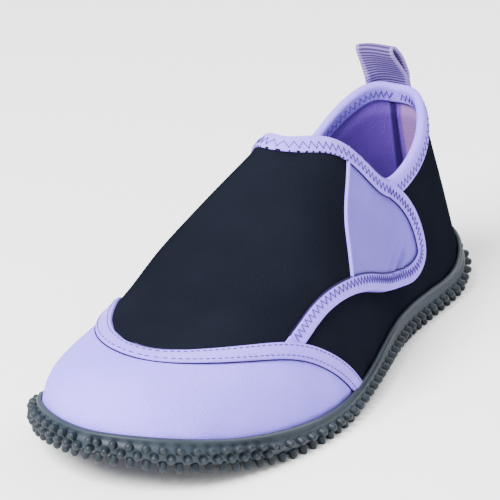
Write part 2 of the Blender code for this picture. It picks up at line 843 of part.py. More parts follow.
def build_insole():
    bm = bmesh.new()
    angles = np.linspace(0, math.pi, INSOLE_COLUMNS + 1)
    sections = []
    for side in (1, -1):
        for angle in angles if side > 0 else angles[-2:0:-1]:
            low = float(bed(angle, side)) + 2 * GAP
            middle_low = float(bed(angle, 1) + bed(angle, -1)) / 2 + 2 * GAP
            centre = spine(angle)
            rows = [centre + [0, 0, middle_low]]
            toe_share = float(np.clip((angle - cap_angle(0.0)) / INSOLE_EASE + 1, 0, 1))
            depth = WALL + toe_share * (RECESS + TOE_WALL - WALL) + INSOLE_MARGIN
            for height in (low, low + INSOLE):
                place = skin(angle, turn_at(angle, side, height), -depth)
                place[2] = height
                rows.append(place)
            rows.append(centre + [0, 0, middle_low + INSOLE])
            sections.append([bm.verts.new(place) for place in rows])
    for one, two in zip(sections, sections[1:] + sections[:1]):
        for r in range(len(one) - 1):
            bm.faces.new([one[r], one[r + 1], two[r + 1], two[r]])
    bmesh.ops.remove_doubles(bm, verts=bm.verts, dist=1e-5)
    return bm


finish("insole", build_insole(), LILAC, 0.8)

# Pull loop: a webbing loop sewn to the back of the collar
LOOP_SLICES = 4
LOOP_SEAT = 0.0080
# Outline of the loop seen from the side: reach up the heel and distance off it, as shares of reach and bulge
LOOP_SIDE = [
    # reach, bulge
    (0.00, 0.16),
    (0.25, 0.00),
    (0.60, -0.26),
    (0.86, -0.38),
    (1.00, -0.10),
    (0.90, 0.34),
    (0.60, 0.68),
    (0.25, 0.72),
    (0.00, 0.62),
]


LOOP_START = FOLD_EASE + TAPE + 3 * GAP


def below_rim(angle, side):
    return skin(angle, turn_at(angle, side, collars[side](angle) - LOOP_SEAT))


def loop_section(angle, side):
    """Outer outline with its foot, and inner outline of the loop, across one place of the heel."""
    rim = skin(angle, collar_turn(angle, side))
    below = below_rim(angle, side)
    up = skin(0.0, collar_turn(0.0, 1)) - below_rim(0.0, 1)
    up /= np.linalg.norm(up)
    off = outward(0.0, collar_turn(0.0, 1))

    def place(reach, bulge):
        return rim + up * (2 * TAPE + LOOP_REACH * reach) + off * (LOOP_START + LOOP_BULGE * bulge)

    def drawn_in(share, size):
        return 0.5 + (share - 0.5) * (1 - 2 * WEBBING / size)

    outline = [place(reach, bulge) for reach, bulge in LOOP_SIDE]
    hole = [place(drawn_in(reach, LOOP_REACH), drawn_in(bulge, LOOP_BULGE)) for reach, bulge in LOOP_SIDE]
    foot = [below + off * (LOOP_START + 2 * WEBBING), below + off * LOOP_START]
    return outline + foot, hole


def heel_angle(across, side):
    """Angle at which the collar edge is a distance across from the middle of the heel."""
    angles = np.linspace(0, 1, FINE)
    return np.interp(across, np.abs(skin(angles, collar_turn(angles, side))[:, 1]), angles)


def build_loop():
    bm = bmesh.new()
    slices = []
    for k in range(LOOP_SLICES + 1):
        across = LOOP_PLACE + (k / LOOP_SLICES - 0.5) * LOOP_WIDTH
        side = 1 if across >= 0 else -1
        outline, hole = loop_section(heel_angle(abs(across), side), side)
        slices.append(([bm.verts.new(p) for p in outline], [bm.verts.new(p) for p in hole]))
    for (one, one_hole), (two, two_hole) in zip(slices, slices[1:]):
        for ring, following_ring in ((one, two), (one_hole, two_hole)):
            for i, vert in enumerate(ring):
                n = (i + 1) % len(ring)
                bm.faces.new([vert, ring[n], following_ring[n], following_ring[i]])
    for outline, hole in (slices[0], slices[-1]):
        count = len(hole)
        for i in range(count - 1):
            bm.faces.new([outline[i], outline[i + 1], hole[i + 1], hole[i]])
        bm.faces.new([outline[count - 1], outline[count], outline[count + 1], outline[0], hole[0], hole[-1]])
    return bm


finish("pull_loop", build_loop(), LILAC, 0.7)

# The model stands on the floor, centred on its own outline
corners = np.array([piece.matrix_world @ vert.co for piece in bpy.data.objects for vert in piece.data.vertices])
middle = (corners.min(0) + corners.max(0)) / 2
shift = Matrix.Translation((-middle[0], -middle[1], -corners[:, 2].min()))
for piece in bpy.data.objects:
    piece.data.transform(shift)
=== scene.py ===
from math import hypot, pi

import bmesh
import bpy
import numpy as np
from mathutils import Matrix, Vector


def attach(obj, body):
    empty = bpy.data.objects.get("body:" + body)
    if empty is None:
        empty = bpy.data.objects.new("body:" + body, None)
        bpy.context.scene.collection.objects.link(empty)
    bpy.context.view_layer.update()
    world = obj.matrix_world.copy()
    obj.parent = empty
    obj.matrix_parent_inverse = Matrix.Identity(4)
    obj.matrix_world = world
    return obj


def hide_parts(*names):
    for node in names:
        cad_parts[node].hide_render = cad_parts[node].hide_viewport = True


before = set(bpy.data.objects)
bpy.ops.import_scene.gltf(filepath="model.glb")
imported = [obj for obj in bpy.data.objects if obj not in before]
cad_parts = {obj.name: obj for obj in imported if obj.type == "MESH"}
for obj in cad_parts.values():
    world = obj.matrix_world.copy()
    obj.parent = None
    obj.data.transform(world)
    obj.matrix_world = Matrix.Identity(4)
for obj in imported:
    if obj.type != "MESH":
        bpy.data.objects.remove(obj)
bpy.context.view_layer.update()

# Upper: one neoprene shell, fine black jersey outside and lilac jersey inside over a thin foam. Its vamp lies
# over the outer quarter. It is pulled over the last and glued into the cup of the sole.
LAST_LENGTH = 0.246
BALL_WIDTH = 0.090
INSTEP_HEIGHT = 0.086
HEEL_HEIGHT = 0.0765
HEEL_LEAN = 0.0425
FAN_POWER = 2.4
LIP_HEIGHT = 0.0225
TOE_SPRING = 0.0115
ARCH_LIFT = 0.0060
HEEL_LIFT = 0.0033
FLAT_EASE = 0.0003
WALL = 0.0025
FLAP = 0.0020
CAP = 0.0010
GAP = 0.0003
PLATE = 0.0025
STUD = 0.0022
RIB_FOOT = 0.35
QUARTER = pi / 2
LAST = [
    # station, outer, inner, ridge, ridge_place, lean, rise
    (0.00, 0.000, 0.000, 1.610, 0.000, 1.467, 2.076),
    (0.04, 0.248, -0.209, 1.555, 0.000, 1.460, 2.020),
    (0.12, 0.327, -0.337, 1.510, 0.000, 1.440, 1.900),
    (0.22, 0.337, -0.349, 1.420, 0.000, 1.400, 1.740),
    (0.34, 0.364, -0.331, 1.202, 0.000, 1.300, 1.540),
    (0.46, 0.439, -0.362, 1.000, 0.000, 1.060, 1.220),
    (0.58, 0.507, -0.466, 0.803, -0.010, 0.870, 0.960),
    (0.68, 0.531, -0.471, 0.664, -0.030, 0.880, 0.870),
    (0.78, 0.497, -0.475, 0.557, -0.053, 0.920, 0.830),
    (0.88, 0.407, -0.463, 0.497, -0.060, 0.940, 0.760),
    (0.96, 0.266, -0.307, 0.430, -0.050, 0.955, 0.620),
    (1.00, -0.038, -0.038, 0.290, -0.038, 0.960, 0.520),
]
SOLE = [
    # station, outer_lip, inner_lip, size, outer_clearance, inner_clearance
    (0.00, 0.88, 0.88, HEEL_LIFT, 1.00, 1.00),
    (0.04, 0.74, 0.78, HEEL_LIFT, 0.60, 0.45),
    (0.12, 0.46, 0.70, HEEL_LIFT, 0.00, 0.00),
    (0.22, 0.45, 0.72, ARCH_LIFT, 0.00, 0.13),
    (0.34, 0.47, 0.93, ARCH_LIFT, 0.20, 0.63),
    (0.46, 0.44, 0.85, ARCH_LIFT, 0.40, 1.00),
    (0.58, 0.37, 0.56, ARCH_LIFT, 0.28, 0.68),
    (0.67, 0.38, 0.40, TOE_SPRING, 0.00, 0.00),
    (0.76, 0.45, 0.48, TOE_SPRING, 0.00, 0.02),
    (0.88, 0.65, 0.75, TOE_SPRING, 0.33, 0.45),
    (0.96, 0.87, 0.91, TOE_SPRING, 0.70, 0.86),
    (1.00, 0.95, 0.95, TOE_SPRING, 1.00, 1.00),
]
COLLAR = [
    # station, size, outer, inner
    (0.00, HEEL_HEIGHT, 1.000, 1.000),
    (0.04, HEEL_HEIGHT, 0.975, 1.005),
    (0.12, HEEL_HEIGHT, 0.850, 0.890),
    (0.22, HEEL_HEIGHT, 0.760, 0.775),
    (0.32, INSTEP_HEIGHT, 0.735, 0.745),
    (0.40, INSTEP_HEIGHT, 0.945, 0.850),
    (0.46, INSTEP_HEIGHT, 1.000, 1.000),
]
THROAT = COLLAR[-1][0]
CAP_EDGE = [
    # turn as a share of a quarter turn, outer, inner
    (0.00, 0.545, 0.572),
    (0.25, 0.657, 0.634),
    (0.45, 0.735, 0.705),
    (0.60, 0.808, 0.763),
    (0.80, 0.878, 0.842),
    (1.00, 0.885, 0.885),
]
FLAP_EDGE = [
    # station, height as a share of the instep height
    (0.294, 0.690), (0.262, 0.625), (0.232, 0.520), (0.219, 0.400), (0.226, 0.285), (0.262, 0.228),
    (0.330, 0.245), (0.400, 0.300), (0.480, 0.390), (0.560, 0.452), (0.635, 0.452), (0.712, 0.385),
]
FLAP_SEAM = [
    # turn as a share of a quarter turn, station
    (0.20, 0.560), (0.38, 0.538), (0.48, 0.504), (0.56, 0.460), (0.62, 0.400), (0.70, 0.375),
]


def angle_of(station):
    return np.arccos(1 - 2 * np.clip(np.asarray(station, float), 0, 1))


def curve(places, values, level_ends=False):
    """Cubic curve through values at places. Level ends keep both sides smooth where they meet."""
    x, y = np.asarray(places, float), np.asarray(values, float)
    width = np.diff(x)
    slope = np.diff(y) / width
    system, right = np.eye(len(x)), np.zeros(len(x))
    for i in range(1, len(x) - 1):
        system[i, i - 1:i + 2] = width[i - 1], 2 * (width[i - 1] + width[i]), width[i]
        right[i] = 6 * (slope[i] - slope[i - 1])
    if level_ends:
        system[0, :2] = 2 * width[0], width[0]
        system[-1, -2:] = width[-1], 2 * width[-1]
        right[0], right[-1] = 6 * slope[0], -6 * slope[-1]
    bend = np.linalg.solve(system, right)

    def value(at):
        at = np.asarray(at, float)
        k = np.clip(np.searchsorted(x, at) - 1, 0, len(x) - 2)
        before, after = at - x[k], x[k + 1] - at
        cubic = (bend[k] * after ** 3 + bend[k + 1] * before ** 3) / (6 * width[k])
        start = (y[k] / width[k] - bend[k] * width[k] / 6) * after
        return cubic + start + (y[k + 1] / width[k] - bend[k + 1] * width[k] / 6) * before

    return value


def along_foot(stations, values, level_ends=True):
    return curve(angle_of(stations), values, level_ends)


stations, outer, inner, ridge, ridge_aside, lean, rise = np.array(LAST).T
outer_breadth, inner_breadth = (along_foot(stations, side * BALL_WIDTH, False) for side in (outer, inner))
ridge_height = along_foot(stations, ridge * INSTEP_HEIGHT)
ridge_place = along_foot(stations, ridge_aside * BALL_WIDTH)
rib_lean, rib_rise = along_foot(stations, lean), along_foot(stations, rise)
stations, outer_lip, inner_lip, size, outer, inner = np.array(SOLE).T
lips = {1: along_foot(stations, outer_lip * LIP_HEIGHT), -1: along_foot(stations, inner_lip * LIP_HEIGHT)}
clearances = {1: along_foot(stations, size * outer), -1: along_foot(stations, size * inner)}
stations, size, outer, inner = np.array(COLLAR).T
collars = {1: along_foot(stations, size * outer), -1: along_foot(stations, size * inner)}


def lip_height(angle, outer):
    return np.where(outer, lips[1](angle), lips[-1](angle))


def form(angle, turn):
    """Skin of the last. The angle runs from heel to toe, the turn from the outer foot over the ridge."""
    angle, turn = np.broadcast_arrays(np.asarray(angle, float), np.asarray(turn, float))
    outer = turn <= QUARTER
    rib_turn = np.clip(np.where(outer, turn, pi - turn), 0, QUARTER)
    across = 1 - np.cos(rib_turn) ** rib_lean(angle)
    up = np.sin(rib_turn) ** rib_rise(angle)
    foot_y = np.where(outer, outer_breadth(angle), inner_breadth(angle))
    foot_z = RIB_FOOT * lip_height(angle, outer)
    fan = HEEL_LEAN * np.cos(np.clip(angle, -QUARTER, QUARTER)) ** FAN_POWER
    x = LAST_LENGTH * (1 - np.cos(angle)) / 2 + fan * across
    y = foot_y + (ridge_place(angle) - foot_y) * across
    return np.stack([x, y, foot_z + (ridge_height(angle) - foot_z) * up], -1)


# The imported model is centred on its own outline: the tip of the toe cap gives how far the last was moved
toe_cap_places = np.array([vert.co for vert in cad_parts["toe_cap"].data.vertices])
toe_tip = toe_cap_places[toe_cap_places[:, 0].argmax()]
MOVED = np.array([toe_tip[0] - LAST_LENGTH, toe_tip[1] - LAST[-1][1] * BALL_WIDTH, 0])
PROBE = 2e-3
TIP_STOP = pi - 0.012


def slopes(angle, turn):
    along = (form(angle + PROBE, turn) - form(angle - PROBE, turn)) / (2 * PROBE)
    over = (form(angle, turn + PROBE) - form(angle, turn - PROBE)) / (2 * PROBE)
    return along, over


def unit(vectors):
    return vectors / np.maximum(np.linalg.norm(vectors, axis=-1, keepdims=True), 1e-12)


def outward(angle, turn):
    """Unit vectors off the skin. Past the tip's stop they stay as they are there, where the toe closes."""
    along, over = slopes(np.minimum(angle, TIP_STOP), turn)
    tip_lean = np.array([1e-9, 0, 1e-9])
    return unit(np.cross(over, along) + tip_lean)


def skin(angle, turn, lift=0.0):
    lift = np.asarray(lift, float)[..., None]
    return form(angle, turn) + outward(angle, turn) * lift


def turn_at(angle, side, height):
    """Turn of the rib at a height on the outer (1) or the inner (-1) side."""
    foot_z = RIB_FOOT * lips[side](angle)
    share = np.clip((height - foot_z) / (ridge_height(angle) - foot_z), 0, 1)
    turn = np.arcsin(share ** (1 / rib_rise(angle)))
    return turn if side > 0 else pi - turn


def ground(angle, side):
    return np.maximum(clearances[side](angle) - FLAT_EASE, 0)


def bed(angle, side):
    return ground(angle, side) + STUD + PLATE


def slide(angle, turn, move):
    """Angle and turn after a short move in the skin."""
    along, over = slopes(angle, turn)
    long, mixed, wide = (along * along).sum(-1), (along * over).sum(-1), (over * over).sum(-1)
    ahead, aside = (move * along).sum(-1), (move * over).sum(-1)
    area = long * wide - mixed * mixed
    return angle + (ahead * wide - aside * mixed) / area, turn + (aside * long - ahead * mixed) / area


def run_length(points):
    """Length along a row of points, at each of them."""
    return np.concatenate([[0], np.cumsum(np.linalg.norm(np.diff(points, axis=0), axis=1))])


def even(path, step):
    """The same path over the skin with points an even length apart."""
    length = run_length(form(*path.T))
    at = np.linspace(0, length[-1], max(2, int(round(length[-1] / step))) + 1)
    return np.stack([np.interp(at, length, row) for row in path.T], -1)


def side_of(path):
    """Unit vectors in the skin, to the right of the path's direction seen from outside."""
    ahead = np.gradient(form(*path.T), axis=0)
    return unit(np.cross(ahead, outward(*path.T)))


def fade(value, full, none):
    share = np.clip((value - none) / (full - none), 0, 1)
    return share * share * (3 - 2 * share)


def collar_path(stations, side):
    angles = angle_of(stations)
    return np.stack([angles, turn_at(angles, side, collars[side](angles))], -1)


cap_shares, cap_outer, cap_inner = np.array(CAP_EDGE).T
cap_turns = np.append(cap_shares, 2 - cap_shares[-2::-1]) * QUARTER
cap_angle = curve(cap_turns, angle_of(np.append(cap_outer, cap_inner[-2::-1])))
seam_shares, seam_stations = np.array(FLAP_SEAM).T
seam_angle = curve(seam_shares * QUARTER, angle_of(seam_stations))
edge_stations, edge_heights = np.array(FLAP_EDGE).T
edge_angles = angle_of(edge_stations)
edge_turns = turn_at(edge_angles, 1, edge_heights * INSTEP_HEIGHT)
edge_turns[0] = turn_at(edge_angles[0], 1, collars[1](edge_angles[0]))
edge_length = run_length(form(edge_angles, edge_turns))
fine_length = np.linspace(0, edge_length[-1], 400)
flap_edge = np.stack([curve(edge_length, at)(fine_length) for at in (edge_angles, edge_turns)], -1)
cap_turn_steps = np.linspace(pi, 0, 900)
cap_edge = np.stack([cap_angle(cap_turn_steps), cap_turn_steps], -1)


# The vamp's step is full on the outer quarter, runs out towards the ridge, and runs out before the toe cap
STEP_FULL, STEP_NONE = 0.64, 0.92
CAP_RUN, CAP_STOP = 0.40, 0.03


def layer(angle, turn):
    """How far the vamp's upper face stands over the skin where it lies over the outer quarter."""
    over_ridge = fade(turn, STEP_FULL * QUARTER, STEP_NONE * QUARTER)
    to_cap = fade(angle, cap_angle(turn) - CAP_RUN, cap_angle(turn) - CAP_STOP)
    return (FLAP + GAP) * over_ridge * to_cap


def beyond(angle, turn, line):
    """Distance of places from a line, positive to the right of the line's direction seen from outside."""
    at = form(angle, turn).reshape(-1, 3)
    points, rights = form(*line.T), side_of(line)
    found = []
    for part in np.array_split(at, len(at) // 4000 + 1):
        offset = part[:, None] - points
        nearest = (offset ** 2).sum(-1).argmin(1)
        near = offset[np.arange(len(part)), nearest]
        found.append(np.sign((near * rights[nearest]).sum(-1)) * np.linalg.norm(near, axis=-1))
    return np.concatenate(found).reshape(np.shape(angle))


def lay(bm, across, along, place, cloth=None):
    """Adds a grid to a bmesh and lays every vertex by its shares across and along."""
    made = bmesh.ops.create_grid(bm, x_segments=across, y_segments=along, size=1)["verts"]
    bm.verts.index_update()
    shares = np.array([vert.co for vert in made])[:, :2] / 2 + 0.5
    for vert, point in zip(made, place(shares[:, 0], shares[:, 1]) + MOVED):
        vert.co = point
    uv = bm.loops.layers.uv.verify()
    marks = shares if cloth is None else cloth(shares[:, 0], shares[:, 1])
    of_vert = dict(zip(made, marks))
    for face in {face for vert in made for face in vert.link_faces}:
        for loop in face.loops:
            loop[uv].uv = of_vert[loop.vert]
        face.smooth = True
    return made


def lay_table(bm, table, marks=None):
    """Adds a grid whose places are worked out already, in rows across by columns along."""
    rows, columns = table.shape[:2]

    def pick(values):
        return lambda across, along: values[np.rint(across * (rows - 1)).astype(int),
                                            np.rint(along * (columns - 1)).astype(int)]

    return lay(bm, rows - 1, columns - 1, pick(table), None if marks is None else pick(marks))


def put(name, data):
    """Puts an object in the scene, at the origin."""
    placed = bpy.data.objects.new(name, data)
    bpy.context.scene.collection.objects.link(placed)
    return placed


def thicken(piece, thickness, offset):
    """A live wall, inwards from the modelled face (-1) or to both sides of it (0)."""
    wall = piece.modifiers.new("wall", "SOLIDIFY")
    wall.thickness = thickness
    wall.offset = offset
    return wall


def finish_piece(name, bm, materials, turned_by=None):
    """Makes the object. A probe point just outside the piece turns the faces of an open sheet outwards."""
    bmesh.ops.remove_doubles(bm, verts=bm.verts, dist=2e-6)
    bmesh.ops.recalc_face_normals(bm, faces=bm.faces)
    if turned_by is not None:
        bm.faces.ensure_lookup_table()
        probe = Vector(turned_by)
        face = min(bm.faces, key=lambda f: (f.calc_center_median() - probe).length)
        if (probe - face.calc_center_median()).dot(face.normal) < 0:
            bmesh.ops.reverse_faces(bm, faces=bm.faces)
    mesh = bpy.data.meshes.new(name)
    bm.to_mesh(mesh)
    bm.free()
    mesh.shade_smooth()
    for material in materials:
        mesh.materials.append(material)
    piece = put(name, mesh)
    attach(piece, "root")
    return piece


class Finish:
    """A Principled material with short calls for its pattern nodes."""

    def __init__(self, name, colour, roughness, **fixed):
        self.material = bpy.data.materials.new(name)
        self.material.use_nodes = True
        self.tree = self.material.node_tree
        self.shader = self.tree.nodes["Principled BSDF"]
        self.shader.inputs["Base Color"].default_value = (*colour, 1)
        self.shader.inputs["Roughness"].default_value = roughness
        for socket, value in fixed.items():
            self.shader.inputs[socket.replace("_", " ")].default_value = value
        self.place = self.tree.nodes.new("ShaderNodeTexCoord").outputs

    def node(self, kind, settings=(), **inputs):
        node = self.tree.nodes.new("ShaderNode" + kind)
        for key, value in dict(settings).items():
            setattr(node, key, value)
        for key, value in inputs.items():
            socket = node.inputs[int(key[1:])] if key[0] == "i" and key[1:].isdigit() else node.inputs[key]
            if isinstance(value, bpy.types.NodeSocket):
                self.tree.links.new(value, socket)
            else:
                socket.default_value = value
        return node.outputs

    def maths(self, operation, one, two=0.0):
        return self.node("Math", {"operation": operation}, i0=one, i1=two)[0]

    def noise(self, scale, detail):
        place = self.place["Object"]
        return self.node("TexNoise", Vector=place, Scale=scale, Detail=detail, Roughness=0.55)[0]

    def ramp(self, value, low, high):
        return self.node("MapRange", {"interpolation_type": "SMOOTHSTEP"}, i0=value, i1=low, i2=high)[0]

    def blend(self, share, one, two):
        return self.node("Mix", {"data_type": "RGBA"}, i0=share, i6=one, i7=two)[2]

    def colour(self, socket):
        self.tree.links.new(socket, self.shader.inputs["Base Color"])

    def rough(self, socket):
        self.tree.links.new(socket, self.shader.inputs["Roughness"])

    def bump(self, *layers):
        """Each layer is a height socket and its depth in metres."""
        normal = None
        for height, depth in layers:
            inputs = {"Height": height, "Distance": depth}
            if normal is not None:
                inputs["Normal"] = normal
            normal = self.node("Bump", **inputs)["Normal"]
        self.tree.links.new(normal, self.shader.inputs["Normal"])


def jersey(name, dark, light, dust, roughness=0.70, gloss=0.15):
    """Fine knitted jersey: tiny rows of loops, a cloudy change of tone and a trace of dust."""
    finish = Finish(name, light, roughness, Specular_IOR_Level=gloss)
    loops = finish.node("TexVoronoi", {"feature": "F1"}, Vector=finish.place["Object"], Scale=1500.0)[0]
    fibre = finish.noise(2600.0, 2.0)
    cloud = finish.noise(26.0, 2.0)
    fleck = finish.ramp(finish.noise(900.0, 3.0), 0.60, 0.80)
    tone = finish.blend(finish.ramp(cloud, 0.32, 0.68), (*dark, 1), (*light, 1))
    finish.colour(finish.blend(finish.maths("MULTIPLY", fleck, 0.30), tone, (*dust, 1)))
    finish.rough(finish.maths("ADD", finish.maths("MULTIPLY", cloud, 0.12), roughness - 0.06))
    finish.bump((cloud, 0.0005), (loops, 0.00018), (fibre, 0.00010))
    return finish


black_jersey = jersey("black_jersey", (0.0056, 0.0067, 0.0110), (0.0070, 0.0083, 0.0134),
                      (0.012, 0.014, 0.022), 0.85, 0.0)
heel_lining = jersey("heel_lining", (0.098, 0.038, 0.32), (0.135, 0.060, 0.39), (0.18, 0.10, 0.44), 0.75)
HEEL_SEAM, SEAM_LEAN = -0.030, 0.02
PATCH_START, PATCH_END = 0.000, 0.215


def dress_heel_lining(finish):
    """The seam up the back of the heel, near-black and partly painted shade along it, and beside it a soft
    heel patch with its own stitched edge. Low in the shoe the lining is painted darker: painted shade.
    """
    side, height = finish.node("SeparateXYZ", Vector=finish.node("UVMap")[0])[:2]

    def stripe(middle, none, full):
        return finish.ramp(finish.maths("ABSOLUTE", middle), none, full)

    leaning = finish.maths("ADD", side, finish.maths("MULTIPLY", height, SEAM_LEAN))
    seam = stripe(finish.maths("SUBTRACT", leaning, HEEL_SEAM), 0.034, 0.010)
    patch = finish.maths("MULTIPLY", finish.ramp(side, PATCH_START, PATCH_START + 0.020),
                         finish.ramp(side, PATCH_END, PATCH_END - 0.020))
    patch_edge = stripe(finish.maths("SUBTRACT", side, PATCH_END - 0.008), 0.016, 0.004)
    base = finish.shader.inputs["Base Color"].links[0].from_socket
    # Painted shade: the lining is painted darker towards deep indigo low down inside the shoe, fading out
    # towards the rim.
    painted_shade_low = finish.maths("MULTIPLY", finish.ramp(height, 0.86, 0.40), 0.9)
    base = finish.blend(painted_shade_low, base, (0.030, 0.008, 0.150, 1))
    pale = finish.blend(finish.maths("MULTIPLY", patch, 0.85), base, (0.26, 0.13, 0.34, 1))
    ridged = finish.blend(finish.maths("MULTIPLY", patch_edge, 0.55), pale, (0.07, 0.03, 0.16, 1))
    # The seam is painted near-black indigo over a stripe wider than the seam: a real seam, partly painted
    # shade along it.
    finish.colour(finish.blend(finish.maths("MULTIPLY", seam, 0.95), ridged, (0.012, 0.004, 0.060, 1)))
    old = finish.shader.inputs["Normal"].links[0].from_socket
    ridged_seam = finish.node("Bump", Height=seam, Distance=0.0010, Normal=old)["Normal"]
    sunk_edge = finish.maths("SUBTRACT", patch, patch_edge)
    patched = finish.node("Bump", Height=sunk_edge, Distance=0.0007, Normal=ridged_seam)["Normal"]
    finish.tree.links.new(patched, finish.shader.inputs["Normal"])


dress_heel_lining(heel_lining)


def crease_depth(point, seen, start, end, depth, half_width):
    """A soft trough or ridge along a line seen from the side or above, running out at both ends."""
    sizes = LAST_LENGTH, INSTEP_HEIGHT if seen[1] == 2 else BALL_WIDTH
    start, end = np.array(start) * sizes, np.array(end) * sizes
    run, offset = end - start, point[..., list(seen)] - start
    share = (offset @ run) / (run @ run)
    apart = np.abs(offset[..., 0] * run[1] - offset[..., 1] * run[0]) / np.linalg.norm(run)
    return depth * np.exp(-(apart / half_width) ** 2) * np.exp(-((share - 0.5) / 0.45) ** 4)


def all_creases(point, creases):
    return sum(crease_depth(point, *crease) for crease in creases)


SIDE, TOP = (0, 2), (0, 1)
# Soft folds of the empty upper: along the vamp, across its bend, behind the flap and low on the inner quarter
VAMP_FOLDS = [
    # view, start, end, depth, half width: places as shares of the last's sizes
    (TOP, (0.46, 0.02), (0.74, 0.10), -0.0007, 0.0070),
    (TOP, (0.44, -0.12), (0.72, -0.20), 0.0006, 0.0075),
    (TOP, (0.50, -0.28), (0.66, -0.36), -0.0006, 0.0060),
    (TOP, (0.60, -0.34), (0.66, 0.02), -0.0004, 0.0035),
]
OUTER_FOLDS = [
    (SIDE, (0.16, 0.30), (0.10, 0.66), -0.0006, 0.0050),
    (SIDE, (0.44, 0.22), (0.60, 0.30), -0.0005, 0.0040),
]
INNER_FOLDS = [
    (SIDE, (0.24, 0.34), (0.12, 0.62), -0.0007, 0.0055),
    (SIDE, (0.34, 0.50), (0.56, 0.40), -0.0006, 0.0050),
    (SIDE, (0.40, 0.34), (0.58, 0.28), 0.0005, 0.0050),
]


def soft_folds(angle, turn):
    """Depth of the soft folds, the vamp's kept to its top."""
    point = form(angle, turn)
    vamp, outer, inner = (all_creases(point, folds) for folds in (VAMP_FOLDS, OUTER_FOLDS, INNER_FOLDS))
    on_top = fade(np.abs(turn - QUARTER), 0.50, 0.80)
    return vamp * on_top + np.where(turn < QUARTER, outer, inner)


PUCKER, RIPPLE, GATHER = 0.00022, 0.0021, 0.031


def puckers(angle, turn):
    """Small ripples where the cloth runs into the sole."""
    point, outer = form(angle, turn), turn < QUARTER
    place = point[..., 0]
    above = point[..., 2] - lip_height(angle, outer)
    ripple = np.sin(place / RIPPLE + 1.7 * np.sin(place / 0.0135) + np.where(outer, 0.0, 2.0))
    gather = 0.35 + 0.65 * np.sin(place / GATHER + np.where(outer, 0.4, 2.1)) ** 2
    return PUCKER * gather * ripple * fade(above, 0.0010, 0.0085)


HALF_COLUMNS, COLLAR_ROWS, FRONT_ROWS = 80, 110, 150
TIP_ANGLE = pi - 0.05
rim_sides = [collar_path(np.linspace(0, THROAT, 2000), side) for side in (1, -1)]
rim_length = run_length(form(*rim_sides[0].T))
rim_angles = np.interp(np.linspace(0, rim_length[-1], COLLAR_ROWS + 1), rim_length, rim_sides[0][:, 0])
row_angles = np.concatenate([rim_angles, np.linspace(angle_of(THROAT), TIP_ANGLE, FRONT_ROWS + 1)[1:]])
RECESS = CAP + 2 * GAP
PANEL_RECESS = 0.0011
RIM_WALL = 0.0014


def flap_seam(turn):
    """Angle of the seam between vamp and flap, held straight past the ends of its table."""
    return seam_angle(np.clip(turn, FLAP_SEAM[0][0] * QUARTER, FLAP_SEAM[-1][0] * QUARTER))


def cap_seat(angle, turn):
    """The seat of the toe cap, which starts a little in front of the cap's edge."""
    return -RECESS * fade(beyond(angle, turn, cap_edge[::3]), 0.0055, 0.0035)


def flap_stand(angle, turn):
    """The vamp's step over the outer quarter, lower behind the seam to seat the flap's panel."""
    from_flap = beyond(angle, turn, even(flap_edge, 0.0012))
    behind_seam = fade(np.minimum(angle, pi) - flap_seam(turn), -0.025, -0.012)
    inside_flap = fade(from_flap, 0.0045, 0.0020) * (angle > edge_angles.min() - 0.1) * (turn < QUARTER)
    return inside_flap * np.maximum(layer(angle, turn) - PANEL_RECESS * behind_seam, 0)


def foot_turn(angle, side):
    return turn_at(angle, side, bed(angle, side) + 1.5 * GAP)


def half_turns(angle, side, share):
    low = foot_turn(angle, side)
    high = np.where(angle < angle_of(THROAT), turn_at(angle, side, collars[side](angle)), QUARTER)
    return low + (high - low) * share


def shell_half(side):
    """Places and cloth marks of the shell's outer (1) or inner (-1) half."""
    def row_angle(along):
        return np.interp(along, np.linspace(0, 1, len(row_angles)), row_angles)

    def place(across, along):
        angle = row_angle(along)
        turn = half_turns(angle, side, across)
        lift = cap_seat(angle, turn) + (flap_stand(angle, turn) if side > 0 else 0)
        return skin(angle, turn, lift + soft_folds(angle, turn) + puckers(angle, turn))

    def cloth(across, along):
        return np.stack([side * 0.5 * row_angle(along), across], -1)

    return place, cloth


shell = bmesh.new()
for foot_side in (1, -1):
    lay(shell, HALF_COLUMNS, len(row_angles) - 1, *shell_half(foot_side))
upper = finish_piece("upper_shell", shell, [black_jersey.material, heel_lining.material], (0, 0, 0.2))
wall = thicken(upper, WALL, -1)
wall.material_offset = 1
shell_places = np.array([vert.co for vert in upper.data.vertices]) - MOVED
rim_marks = form(*np.concatenate(rim_sides)[::10].T)
from_rim = np.sqrt(np.min([((shell_places - mark) ** 2).sum(-1) for mark in rim_marks], axis=0))
squeezed = upper.vertex_groups.new(name="wall")
for index, share in enumerate(RIM_WALL / WALL + (1 - RIM_WALL / WALL) * fade(from_rim, 0.0125, 0.0075)):
    squeezed.add([index], share, "REPLACE")
wall.vertex_group = "wall"
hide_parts("upper")

# Toe cap: a panel of lilac textile laminated over the toe in a recess of the neoprene. Its rear edge lies
# under the toe band, and its foot is glued into the cup of the sole with the upper.
lilac_textile = jersey("lilac_textile", (0.245, 0.170, 0.90), (0.285, 0.200, 0.96), (0.36, 0.27, 0.97))


def toe_turns(angle, share):
    low, high = foot_turn(angle, 1), foot_turn(angle, -1)
    return low + (high - low) * share


def lay_cap(across, along):
    start = cap_angle(toe_turns(cap_angle(pi * across), across))
    for _ in range(25):
        start = 0.5 * start + 0.5 * cap_angle(toe_turns(start, across))
    start = start + CAP_INSET
    angle = start + (TIP_ANGLE - start) * along
    turn = toe_turns(angle, across)
    return skin(angle, turn, all_creases(form(angle, turn), CAP_FOLDS) + puckers(angle, turn))


CAP_INSET = 0.034
CAP_FOLDS = [
    (TOP, (0.925, 0.10), (0.985, -0.20), -0.0004, 0.0016),
    (TOP, (0.955, 0.16), (0.990, -0.04), 0.0003, 0.0016),
    (TOP, (0.86, -0.38), (0.95, -0.30), -0.0004, 0.0022),
    (TOP, (0.84, 0.20), (0.95, 0.02), 0.0003, 0.0060),
]
CAP_COLUMNS = 160
cap = bmesh.new()
cap_grid = lay(cap, CAP_COLUMNS, 100, lay_cap)
